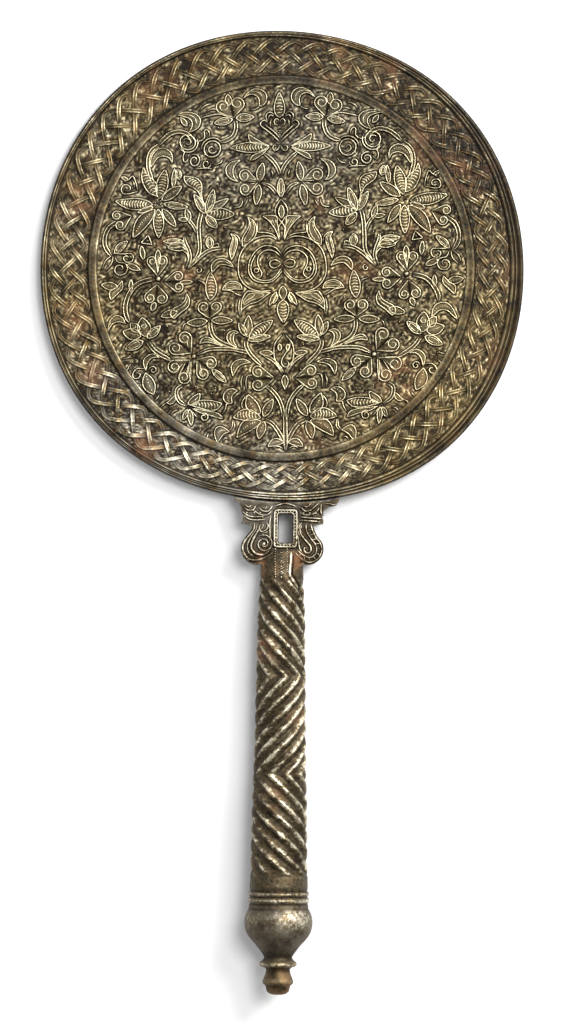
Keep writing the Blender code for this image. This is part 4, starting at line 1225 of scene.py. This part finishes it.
# --- plait of the border: two endless straps that pass over and under each other -------------
# section of a strap: place across in half widths, height, wear
STRAP_SECTION = ((-1.0, -0.9, 0.0), (-0.95, 0.0, 0.0), (-0.80, 0.85, 0.85), (-0.58, 1.0, 1.0),
                 (-0.30, 0.78, 0.25), (0.30, 0.78, 0.25), (0.58, 1.0, 1.0), (0.80, 0.85, 0.85),
                 (0.95, 0.0, 0.0), (1.0, -0.9, 0.0))
STRAP_HALF, STRAP_RISE = 0.97, 0.65
RUBBED_MIDDLE = slice(4, 6)      # the two lines of the section in the strap's hollow
PLAIT_LOW, PLAIT_HIGH = 1.15, 1.95
PLAIT_POINTS = 14                # along a strap, from one crossing to the next
SWING_SHARPNESS = 0.90
# how high a strap lies along its way: place in crossings, then 0 for under to 1 for over
WEAVE = ((0.0, 0.35), (0.5, 1.0), (1.0, 0.0), (1.5, 1.0), (2.0, 0.35), (2.5, 0.0), (3.0, 1.0), (3.5, 0.0),
         (4.0, 0.35))


def weave_level(u):
    """Height of a strap after so many crossings, eased from knot to knot."""
    knots, levels = np.array(WEAVE).T
    at = u % knots[-1]
    k = np.clip(np.searchsorted(knots, at, side="right") - 1, 0, len(knots) - 2)
    t = (at - knots[k]) / (knots[k + 1] - knots[k])
    return levels[k] + (levels[k + 1] - levels[k]) * t * t * (3 - 2 * t)


def plait_line(offset):
    """Middle line of one strap over two rounds, and its level."""
    u = np.linspace(0, 2 * PLAIT_REPEATS, 2 * PLAIT_REPEATS * PLAIT_POINTS, endpoint=False)
    swing = np.arcsin(SWING_SHARPNESS * np.cos(u * math.pi / 2)) / math.asin(SWING_SHARPNESS)
    turn = (u + offset) * TAU / PLAIT_REPEATS + PLAIT_PHASE
    low, high = RING_OUTER + STRAP_INSET, border_radius(turn) - STRAP_INSET
    radius = low + (0.5 + 0.5 * swing) * (high - low)
    radius = radius + 0.28 * value_noise(u * 1.3, u * 0 + 7 * offset, 52)
    level = weave_level(u)
    return np.column_stack([polar(radius, turn), PLAIT_LOW + (PLAIT_HIGH - PLAIT_LOW) * level]), level


def strap_rows(line):
    """The strap's section, laid across its middle line."""
    across = sides(line, closed=True)
    rows = []
    for u, z, _ in STRAP_SECTION:
        plan = line[:, :2] + across * (u * STRAP_HALF)
        rows.append(np.column_stack([plan, line[:, 2] + (z - 1.0) * STRAP_RISE]))
    return np.stack(rows, axis=1)


def strap_wear(line, level, seed):
    """Bright where the strap passes over, uneven along its length."""
    value = np.array([w for _, _, w in STRAP_SECTION])[None, :] * (0.18 + 0.82 * level[:, None])
    value[:, RUBBED_MIDDLE] += (0.75 * patches(SILVER, line[:, :2]) * level)[:, None]
    along, across = np.arange(len(line))[:, None], np.arange(len(STRAP_SECTION))[None, :]
    return value * (0.80 + 0.35 * value_noise(along / 2.1, across * 0.7, seed))


def build_plait():
    plait = Relief()
    for offset in (0, 1):
        line, level = plait_line(offset)
        plait.grid(strap_rows(line), strap_wear(line, level, 51 + offset), close_rows=True)
    plait.build("border_plait", PLATE_POSE, plait_steel, "carved_steel")


build_plait()

# --- handle: its own frame, middle line along Y ------------------------------------------------
HALF_THICK, SEAT_GAP = 3.5, 0.45
# x of the ears' tips, and where the ears turn into the block
LEFT_TIP, RIGHT_TIP, EAR_ROOT = -19.6, 22.9, 17.2
LEFT_EAR_DROP, RIGHT_EAR_DROP = 1.0, 2.6
SCROLL_X, SCROLL_Y, SCROLL_RADIUS = 10.2, -19.8, 6.3
SLOT_X, SLOT_Y, SLOT_HALF, SLOT_HALF_LENGTH = 1.3, -11.6, 2.9, 5.8
FLUTES, FLUTE_LEAD, FLUTE_DEPTH, FLUTE_POINTS = 9, 58.5, 1.5, 14
FLUTES_FROM, FLUTES_TURN, FLUTES_BACK, FLUTES_TO = -31.0, -70.6, -109.3, -150.5
# radius of the grip at distances down the handle
GRIP_RADII = ((20, 8.2), (32, 8.7), (48, 9.6), (64, 9.8), (80, 10.1), (96, 10.25), (112, 10.7), (122, 11.0),
              (136, 11.25), (148, 11.4), (151.5, 11.4))
NECK_FROM, NECK_FLATNESS, GRIP_FOOT = 20.5, 0.8, -151.0
# start and length of the stretch in which the flutes begin, and end, and the neck turns round
FLUTES_BEGIN, FLUTES_END, NECK_ROUNDS = (30.5, 4.0), (-151.2, 4.5), (-36.0, 5.0)


def handle_place(points):
    """Plan of the handle's points in the plate's frame, where the patina is laid out."""
    c, s = math.cos(HANDLE_LEAN), math.sin(HANDLE_LEAN)
    return np.stack([HANDLE_X + points[:, 0] * c - points[:, 1] * s,
                     HANDLE_Y + points[:, 0] * s + points[:, 1] * c], axis=1)


def rim_seat(x):
    """Height in the handle's frame at which the head meets the plate's rim."""
    across = HANDLE_X + x
    turn = math.atan2(HANDLE_Y, across)
    for _ in range(2):
        drop = math.sqrt(float(rim_radius(turn)) ** 2 - across ** 2)
        turn = math.atan2(-drop, across)
    return -drop - HANDLE_Y - x * math.tan(HANDLE_LEAN) - SEAT_GAP


def head_side(sign, tip, drop):
    """One side of the head, from the ear's tip down to the foot of the scroll."""
    hook = abs(tip) - EAR_ROOT
    ear = [(tip - sign * 0.2, rim_seat(tip - sign * 0.2) - 0.5), (tip - sign * 0.6, rim_seat(tip) - 1.5),
           (sign * (EAR_ROOT + 0.55 * hook), 0.2 - drop), (sign * (EAR_ROOT + 0.25 * hook), -0.2 - drop),
           (sign * EAR_ROOT, -1.0 - drop)]
    block = [(sign * 16.2, -4.8), (sign * 15.9, -7.0), (sign * 16.4, -8.2), (sign * 16.4, -9.6),
             (sign * 14.2, -9.9)]
    waist = [(sign * 12.5, -10.6), (sign * 12.4, -12.2), (sign * 13.4, -14.0)]
    turns = [math.radians(48 - 14 * k) for k in range(12)]
    radius = SCROLL_RADIUS - 0.1
    scroll = [(sign * (SCROLL_X + radius * math.cos(t)), SCROLL_Y + radius * math.sin(t)) for t in turns]
    return ear + block + waist + scroll


def head_outline():
    """Seat, hooked ears, moulded block, waist and scrolls, run round once against the sun."""
    seat = [(x, rim_seat(x)) for x in np.linspace(RIGHT_TIP, LEFT_TIP, 22)]
    left = head_side(-1, LEFT_TIP, LEFT_EAR_DROP)
    right = head_side(1, RIGHT_TIP, RIGHT_EAR_DROP)
    foot = [(-6.6, -27.4), (-3.0, -27.8), (3.0, -27.8), (6.6, -27.4)]
    return seat + left + foot + right[::-1]


def slot_outline(grow, corner):
    """Rounded rectangle about the hanging slot."""
    outline = []
    half, long = SLOT_HALF + grow, SLOT_HALF_LENGTH + grow
    for sx, sy, start in ((1, 1, 0), (-1, 1, 90), (-1, -1, 180), (1, -1, 270)):
        for step in (0, 0.25, 0.5, 0.75, 1):
            turn = math.radians(start + 90 * step)
            outline.append((SLOT_X + sx * (half - corner) + corner * math.cos(turn),
                            SLOT_Y + sy * (long - corner) + corner * math.sin(turn)))
    return outline


SLAB_FLAT_WEAR, SLAB_EDGE_WEAR, SLAB_BACK_WEAR = 0.17, 0.6, 0.15


def curve_mesh(name, loops, bevel, half):
    """Mesh of a filled curve with rounded edges, from plan outlines."""
    curve = bpy.data.curves.new(name, "CURVE")
    curve.dimensions = "2D"
    curve.fill_mode = "BOTH"
    for loop in loops:
        spline = curve.splines.new("POLY")
        spline.points.add(len(loop) - 1)
        spline.use_cyclic_u = True
        for point, (x, y) in zip(spline.points, loop):
            point.co = (x, y, 0, 1)
    curve.extrude = half - bevel
    curve.bevel_depth = bevel
    curve.bevel_resolution = 2
    curve.offset = -bevel
    holder = bpy.data.objects.new(name, curve)
    bpy.context.scene.collection.objects.link(holder)
    bpy.context.view_layer.update()
    mesh = bpy.data.meshes.new_from_object(holder.evaluated_get(bpy.context.evaluated_depsgraph_get()))
    bpy.data.objects.remove(holder)
    return mesh


def slab(name, loops, bevel, half):
    """Points, triangles and wear of a plate with rounded edges and a hole."""
    work = bmesh.new()
    work.from_mesh(curve_mesh(name, loops, bevel, half))
    bmesh.ops.remove_doubles(work, verts=work.verts, dist=0.001)
    bmesh.ops.subdivide_edges(work, edges=[e for e in work.edges if e.calc_length() > 1.5], cuts=1)
    bmesh.ops.triangulate(work, faces=work.faces)
    work.verts.ensure_lookup_table()
    points = np.array([v.co[:] for v in work.verts])
    faces = [tuple(v.index for v in f.verts) for f in work.faces]
    work.free()
    is_flat = np.abs(np.abs(points[:, 2]) - half) < 0.02
    edge_wear = np.where(points[:, 2] > half - bevel * 0.9, SLAB_EDGE_WEAR, SLAB_BACK_WEAR)
    return points, faces, np.where(is_flat, SLAB_FLAT_WEAR, edge_wear)


head = Relief()
head.add(*slab("handle_head_form", [head_outline(), slot_outline(0.0, 1.2)], 0.5, HALF_THICK))
head.build("handle_head", HANDLE_POSE, handle_steel, "forged_steel", handle_place, sharp=40)

# --- relief on the head: slot frame, scrolls, bands, leaves and the tongue below the slot -------
# section of a band: place across in half widths, height, wear
BAND_SECTION = ((-1.9, -0.2, 0.0), (-1.8, 0.17, 0.0), (-1.05, 0.17, 0.0), (-0.7, 0.8, 0.7), (0.0, 1.0, 1.0),
                (0.7, 0.8, 0.7), (1.05, 0.17, 0.0), (1.8, 0.17, 0.0), (1.9, -0.2, 0.0))
relief = Relief()


def top_of(line):
    """Height of the head's face, and of the neck where that stands higher."""
    radius = np.interp(-line[:, 1], *np.array(GRIP_RADII).T)
    neck = NECK_FLATNESS * np.sqrt(np.maximum(radius ** 2 - line[:, 0] ** 2, 0.0))
    return np.where(line[:, 1] < -NECK_FROM, np.maximum(neck, HALF_THICK), HALF_THICK)


def head_line(points, width, rise, closed=False, wear=0.72, taper=True):
    """Rounded line that follows the face of the head and the neck."""
    ribbon(relief, points, width, 0.0, rise + 0.1, closed, taper, wear, section=BAND_SECTION, step=0.5,
           base_at=lambda line: top_of(line) - 0.1)


def beads(points, radius, pitch, lift=0.0):
    """Row of dots along a line on the head."""
    spots = resample(points, pitch)
    for (x, y), z in zip(spots, top_of(spots)):
        dot(relief, x, y, radius, z + lift, radius * 1.2, 0.9)


def drawn(*knots, width=0.7, rise=0.7):
    head_line(smooth_line(knots), width, rise, wear=0.75)


def spiral(x, y, radius, turns, start, hand, width, rise):
    """Line that winds inward to a bead."""
    t = np.linspace(0, 1, int(34 * turns))
    way = np.radians(start) + hand * TAU * turns * t
    reach = radius * (1 - t) + 0.5 * t
    head_line(np.stack([x + reach * np.cos(way), y + reach * np.sin(way)], axis=1), width, rise)
    dot(relief, x, y, 0.8, HALF_THICK + 0.2, 0.8)


def head_block():
    """Leaf mouldings of the block under the plate's rim."""
    drawn((-3.6, -2.9), (1.2, -1.6), (5.8, -2.9), width=0.8)
    drawn((-3.9, -2.5), (-5.6, -4.7), (-8, -4.6), (-9.4, -3.2), width=0.8)
    drawn((-4.3, -4.6), (-6, -6.2), (-8.6, -6.2), (-10.4, -5.2), (-12.6, -4))
    drawn((-8, -3.2), (-6.6, -3.6), (-6.2, -2.6))
    drawn((-16.2, -4.6), (-14.4, -6.2), (-12, -7), (-7.4, -6.9), width=0.8)
    drawn((-15.6, -6.4), (-12.4, -8.2), (-6.6, -8.1), width=0.7)
    drawn((-10.6, -2.6), (-11.6, -4.2), (-13.8, -4.4), (-15.6, -3))
    drawn((-12.4, -2.4), (-13.6, -3.2), (-15.2, -1.8))
    drawn((5.9, -2.9), (7.6, -3.4), (9, -4.6), (11.2, -4.2), (12.8, -2.9), (14.6, -1.2), width=0.8)
    drawn((6.6, -4.9), (8.6, -6), (11.6, -5.9), (13.8, -4.6), (14.8, -2.8))
    drawn((7.6, -2.2), (9.4, -2.9), (10.6, -2.4), (11.4, -1.2))
    drawn((15.5, -1.4), (15.3, -3.6), (15.4, -5.2), (16.2, -6.6), width=0.9)
    drawn((16, -7.6), (12.6, -7.4), (6.6, -6.9), width=0.8)
    drawn((15.4, -9), (12.6, -8.6), (6.8, -8.3), width=0.8)
    drawn((16.4, -1.6), (18.6, -1.5), (20.4, -2), (21.6, -1.4), width=0.7)
    for x in (-14.2, -11.2, -8.8, 8.4, 10.9, 13.4):
        dot(relief, x, -5.4, 0.45, HALF_THICK, 0.6)


def left_lobe():
    """Leaf that falls from the block and rolls up in the left lobe."""
    drawn((-11, -9.4), (-11.4, -12.2), (-14.2, -15.8), (-15.6, -18.4), (-15.3, -21.2), (-13.2, -23.8),
          (-9.9, -24.2), (-5.8, -22.8), (-3.4, -20.9), width=0.8, rise=0.8)
    drawn((-9.3, -11.6), (-10.3, -13.8), (-11.6, -16.2), (-12.3, -19.2), (-10.6, -21.6), (-7.6, -22.1),
          (-4.9, -20.5), width=1, rise=0.9)
    drawn((-10.2, -9.6), (-10.4, -12), (-12.6, -15.4), (-13.8, -18.6), (-13.2, -21.4), (-10.9, -23),
          width=0.5)
    spiral(-7.2, -17.8, 3.7, 2, 130, -1, 0.7, 0.9)
    drawn((-6.8, -8.9), (-5.6, -10.4), (-6.4, -12.2), (-8.4, -12.9), (-9.2, -11.6), (-8.8, -10.2))
    drawn((-8.2, -9.2), (-7.6, -10.8), (-9, -12.4), (-10, -13.6), width=0.5)
    drawn((-4.7, -6.4), (-5, -10.6), (-4.8, -14.6), (-5, -17.6))
    drawn((-5.4, -12.6), (-6.8, -13.4), (-8.4, -13.6), width=0.5)
    beads([(-14.9, -16.2), (-16, -18.8), (-15.7, -21.6), (-13.6, -24.3)], 0.32, 0.9)


def right_lobe():
    """Broad double band that runs round the right lobe, with an S curled inside it."""
    outer = smooth_line(((11.3, -9.4), (11.9, -11.8), (13.4, -15), (15.2, -17.3), (15.8, -19.8),
                         (15.2, -22.2), (13.4, -24.2), (10.7, -25), (7.7, -23.6), (4.8, -20.9)))
    inner = smooth_line(((9.5, -9.4), (9.6, -12.2), (11.2, -15.2), (13.2, -17.7), (13.8, -20),
                         (13.2, -21.8), (11.8, -22.9), (10.2, -23), (7.9, -21.8), (5.6, -19.6)))
    head_line(outer, 0.8, 0.9)
    head_line(inner, 0.7, 0.9)
    outer, inner = even_points(outer, 24), even_points(inner, 24)
    for a, b in zip(outer[2:-2:2], inner[3:-1:2]):
        head_line([a * 0.76 + b * 0.24, a * 0.24 + b * 0.76], 0.5, 0.6, taper=False)
    drawn((6.9, -10), (7.4, -13.6), (9.4, -16.4), (11.2, -18.4), (11.5, -20.4), (10.2, -21.3), (8.8, -20.4),
          (9.1, -19), (10, -19.3), width=0.8, rise=0.9)
    drawn((5.7, -13), (6.6, -17), (7, -19.6), (8.4, -21.4))
    drawn((6.2, -9), (7.7, -11), (6.4, -13.2), (7.6, -15), width=0.5)
    drawn((7.9, -9), (6.6, -11.2), (8.2, -13.4), width=0.5)
    drawn((5.9, -6.2), (6.1, -10.6), (5.9, -15), (6, -17.8))


def slot_frame():
    """Two raised lines round the hanging slot, with beads between them."""
    head_line(slot_outline(1.5, 1.0), 0.9, 1.1, closed=True, wear=0.85)
    head_line(slot_outline(0.45, 0.9), 0.6, 0.9, closed=True, wear=0.8)
    bead_line = slot_outline(1.0, 0.8)
    beads(bead_line + bead_line[:1], 0.36, 1.2, 0.4)


def tongue():
    """Beaded strip that runs from the slot down over the neck."""
    beads([(-2.7, -19.8), (-2.8, -24.0), (-2.5, -31.0)], 0.42, 1.0)
    beads([(2.1, -19.8), (2.2, -24.0), (2.1, -30.0)], 0.34, 1.0)
    head_line(smooth_line([(3.6, -21.0), (3.4, -25.4), (3.1, -29.6), (4.4, -32.2), (6.4, -35.4)]), 1.5, 0.9,
              wear=1.0)
    for k in range(5):
        y = -21.6 - 2.1 * k
        drawn((-1.9, y), (-1.0, y + 0.8), (-0.2, y), (0.6, y + 0.8), (1.4, y), width=0.5)
        beads([(-0.2, y - 1.0), (-0.2, y - 1.1)], 0.40, 1.0)


head_block()
left_lobe()
right_lobe()
slot_frame()
tongue()
relief.build("handle_relief", HANDLE_POSE, handle_steel, "forged_steel", handle_place)

# --- fluted grip ------------------------------------------------------------------------------


def twist_at(y):
    """Twist of the flutes in degrees; they turn back at two heights."""
    rate = 360.0 / FLUTE_LEAD
    first = FLUTES_FROM - np.clip(y, FLUTES_TURN, FLUTES_FROM)
    second = FLUTES_TURN - np.clip(y, FLUTES_BACK, FLUTES_TURN)
    third = FLUTES_BACK - np.clip(y, FLUTES_TO, FLUTES_BACK)
    return rate * (first - second + third)


def fade_in(values, start, length):
    """0 up to the start, then evenly up to 1."""
    return np.clip((values - start) / length, 0, 1)


def grip_wear(down, spin, crest, carved):
    """Chipped along the crests, with a painted highlight that makes them brightest on the upper right side.
    """
    chipped = 0.72 + 0.38 * value_noise(down / 0.9 + 300, spin * 6 + 50, 41)
    chipped += 0.26 * value_noise(down / 4 + 300, spin * 1.5 + 50, 42)
    # painted highlight: the crests are made brighter toward the upper right
    lit_crest_side = 0.56 + 0.44 * np.cos(spin - math.radians(60))
    value = 0.30 * chipped + 0.90 * crest * chipped * lit_crest_side * carved
    return np.where(carved > 0.03, value, 0.35)


def build_grip():
    heights = np.arange(-NECK_FROM, GRIP_FOOT, -0.8)[:, None]
    radii = np.interp(-heights, *np.array(GRIP_RADII).T)
    carved = fade_in(-heights, *FLUTES_BEGIN) * fade_in(heights, *FLUTES_END)
    flatness = 1 - (1 - NECK_FLATNESS) * fade_in(heights, *NECK_ROUNDS)
    count = FLUTE_POINTS * FLUTES
    place_in = (np.arange(count) / FLUTE_POINTS + 0.5) % 1 - 0.5
    hollow = 1 - (2 * np.abs(place_in) - 1) ** 2
    rounded = 0.5 - 0.5 * np.cos(TAU * place_in)
    groove = 0.45 * hollow + 0.55 * rounded
    spin = np.arange(count) * TAU / count - np.radians(twist_at(heights))
    radius = radii - FLUTE_DEPTH * carved * groove
    down = np.broadcast_to(heights, radius.shape)
    rows = np.stack([radius * np.cos(spin), down, radius * np.sin(spin) * flatness], axis=-1)
    crest = np.exp(-(place_in / 0.21) ** 2)
    grip = Relief()
    grip.grid(rows, grip_wear(down, spin, crest, carved), caps=True)
    grip.build("handle_grip", HANDLE_POSE, handle_steel, "forged_steel", handle_place)


build_grip()

# --- turned pommel ----------------------------------------------------------------------------
# distance down the handle, radius and wear of each turned line
POMMEL = ((148.6, 10.3, 0.34), (149.9, 11.42, 0.36), (151.2, 11.47, 0.40), (152.4, 11.5, 0.42),
          (153.6, 11.6, 0.45), (155.4, 11.5, 0.35), (155.8, 11.2, 0.05), (156.2, 11.8, 0.5),
          (156.9, 12.2, 0.9), (157.6, 11.8, 0.5), (158.1, 11.3, 0.05), (158.6, 11.9, 0.5),
          (159.4, 12.25, 0.9), (160.3, 11.9, 0.5), (160.9, 11.5, 0.05), (161.4, 11.75, 0.25),
          (162.2, 11.9, 0.35), (162.8, 11.8, 0.1), (163.6, 12.3, 0.4), (165.0, 13.0, 0.45),
          (166.6, 13.45, 0.5), (168.2, 13.6, 0.5), (170.2, 13.45, 0.45), (172.2, 12.9, 0.4),
          (174.0, 11.9, 0.35), (175.6, 10.6, 0.3), (177.0, 9.2, 0.3), (178.4, 8.1, 0.25), (180.0, 6.9, 0.2),
          (181.4, 5.9, 0.1), (182.4, 5.5, 0.1), (183.4, 6.3, 0.3), (184.2, 7.3, 0.55), (184.9, 7.5, 0.85),
          (185.6, 7.2, 0.5), (186.3, 5.3, 0.1), (187.0, 4.7, 0.1), (188.4, 4.9, 0.2), (190.0, 5.5, 0.35),
          (191.2, 6.0, 0.5), (192.0, 6.15, 0.6), (192.7, 5.9, 0.35), (193.2, 5.2, 0.1), (193.8, 4.85, 0.1),
          (194.8, 4.7, 0.2), (195.8, 4.35, 0.25), (196.6, 3.4, 0.25), (197.0, 2.1, 0.25),
          (197.15, 0.3, 0.25))
POMMEL_POINTS = 96
# painted highlight on the bulb's upper right: distance down the handle and bearing, each with its spread
BULB_HIGHLIGHT_AT, BULB_HIGHLIGHT_LENGTH, BULB_HIGHLIGHT_BEARING, BULB_HIGHLIGHT_SPREAD = 165.5, 4.5, 62, 26


def build_pommel():
    """Rings, bulb, flange and knob, turned about the handle's middle line."""
    turn = np.arange(POMMEL_POINTS)[None, :] * TAU / POMMEL_POINTS
    reach, radius, wear = np.array(POMMEL).T[:, :, None]
    down = np.broadcast_to(-reach, (len(POMMEL), POMMEL_POINTS))
    rows = np.stack([radius * np.cos(turn), down, radius * np.sin(turn)], axis=-1)
    bulb_highlight = np.exp(-((reach - BULB_HIGHLIGHT_AT) / BULB_HIGHLIGHT_LENGTH) ** 2
                  - ((np.degrees(turn) - BULB_HIGHLIGHT_BEARING) / BULB_HIGHLIGHT_SPREAD) ** 2)
    pommel = Relief()
    # the painted highlight adds to the wear, so the bulb is brighter and smoother there
    pommel.grid(rows, 0.78 * wear + 0.40 * bulb_highlight, caps=True)
    pommel.build("handle_pommel", HANDLE_POSE, handle_steel, "forged_steel", handle_place)


build_pommel()

for name in ("arabesque_lines_upper", "arabesque_lines_middle", "arabesque_lines_lower", "arabesque_leaves",
              "field_ground", "plate_rim", "mirror_face", "border_plait"):
    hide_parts("mirror_disc")
for name in ("handle_head", "handle_relief", "handle_grip", "handle_pommel"):
    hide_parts("handle")

# --- floor, light and camera --------------------------------------------------------------------
FLOOR_HALF = 3
FLOOR_CORNERS = [(-FLOOR_HALF, -FLOOR_HALF, 0), (FLOOR_HALF, -FLOOR_HALF, 0),
                 (FLOOR_HALF, FLOOR_HALF, 0), (-FLOOR_HALF, FLOOR_HALF, 0)]
floor_mesh = bpy.data.meshes.new("floor")
floor_mesh.from_pydata(FLOOR_CORNERS, [], [(0, 1, 2, 3)])
floor = bpy.data.objects.new("floor", floor_mesh)
bpy.context.scene.collection.objects.link(floor)
paper = Nodes("pale_floor")
paper.shader.inputs["Base Color"].default_value = (0.72, 0.73, 0.745, 1)
paper.shader.inputs["Roughness"].default_value = 0.9
floor_mesh.materials.append(paper.material)

world = bpy.data.worlds.new("soft_studio")
world.use_nodes = True
world.node_tree.nodes["Background"].inputs["Color"].default_value = (1.0, 0.985, 0.96, 1)
world.node_tree.nodes["Background"].inputs["Strength"].default_value = 0.52
bpy.context.scene.world = world
bpy.context.scene.view_settings.view_transform = "Standard"


def area_light(name, place, size, power, colour):
    """Square lamp turned towards the origin."""
    lamp = bpy.data.lights.new(name, "AREA")
    lamp.size = size
    lamp.energy = power
    lamp.color = colour
    holder = bpy.data.objects.new(name, lamp)
    holder.location = place
    holder.rotation_euler = Vector(place).to_track_quat("Z", "Y").to_euler()
    bpy.context.scene.collection.objects.link(holder)


area_light("key", (0.80, 0.68, 0.88), 0.60, 22, (1.0, 0.98, 0.95))
area_light("top", (0.42, 0.34, 1.52), 0.60, 19, (1.0, 0.98, 0.96))
area_light("fill", (-0.9, 0.5, 1.1), 0.9, 4, (0.96, 0.98, 1.0))

# the middle of the picture in the plate's frame, the camera's small shift from it, and the
# height of what the picture shows at that depth, all in metres
PICTURE_MIDDLE, CAMERA_SHIFT = (0.0001, -0.0973, 0.002), (-0.0003, -0.0002)
CAMERA_HEIGHT, FRAME_HEIGHT, SENSOR_HEIGHT = 1.9, 0.40825, 24
middle = PLATE_POSE @ Vector(PICTURE_MIDDLE)
camera_data = bpy.data.cameras.new("camera")
camera_data.sensor_fit = "VERTICAL"
camera_data.sensor_height = SENSOR_HEIGHT
camera_data.lens = SENSOR_HEIGHT * (CAMERA_HEIGHT - middle.z) / FRAME_HEIGHT
camera = bpy.data.objects.new("camera", camera_data)
camera.location = (middle.x + CAMERA_SHIFT[0], middle.y + CAMERA_SHIFT[1], CAMERA_HEIGHT)
bpy.context.scene.collection.objects.link(camera)
bpy.context.scene.camera = camera
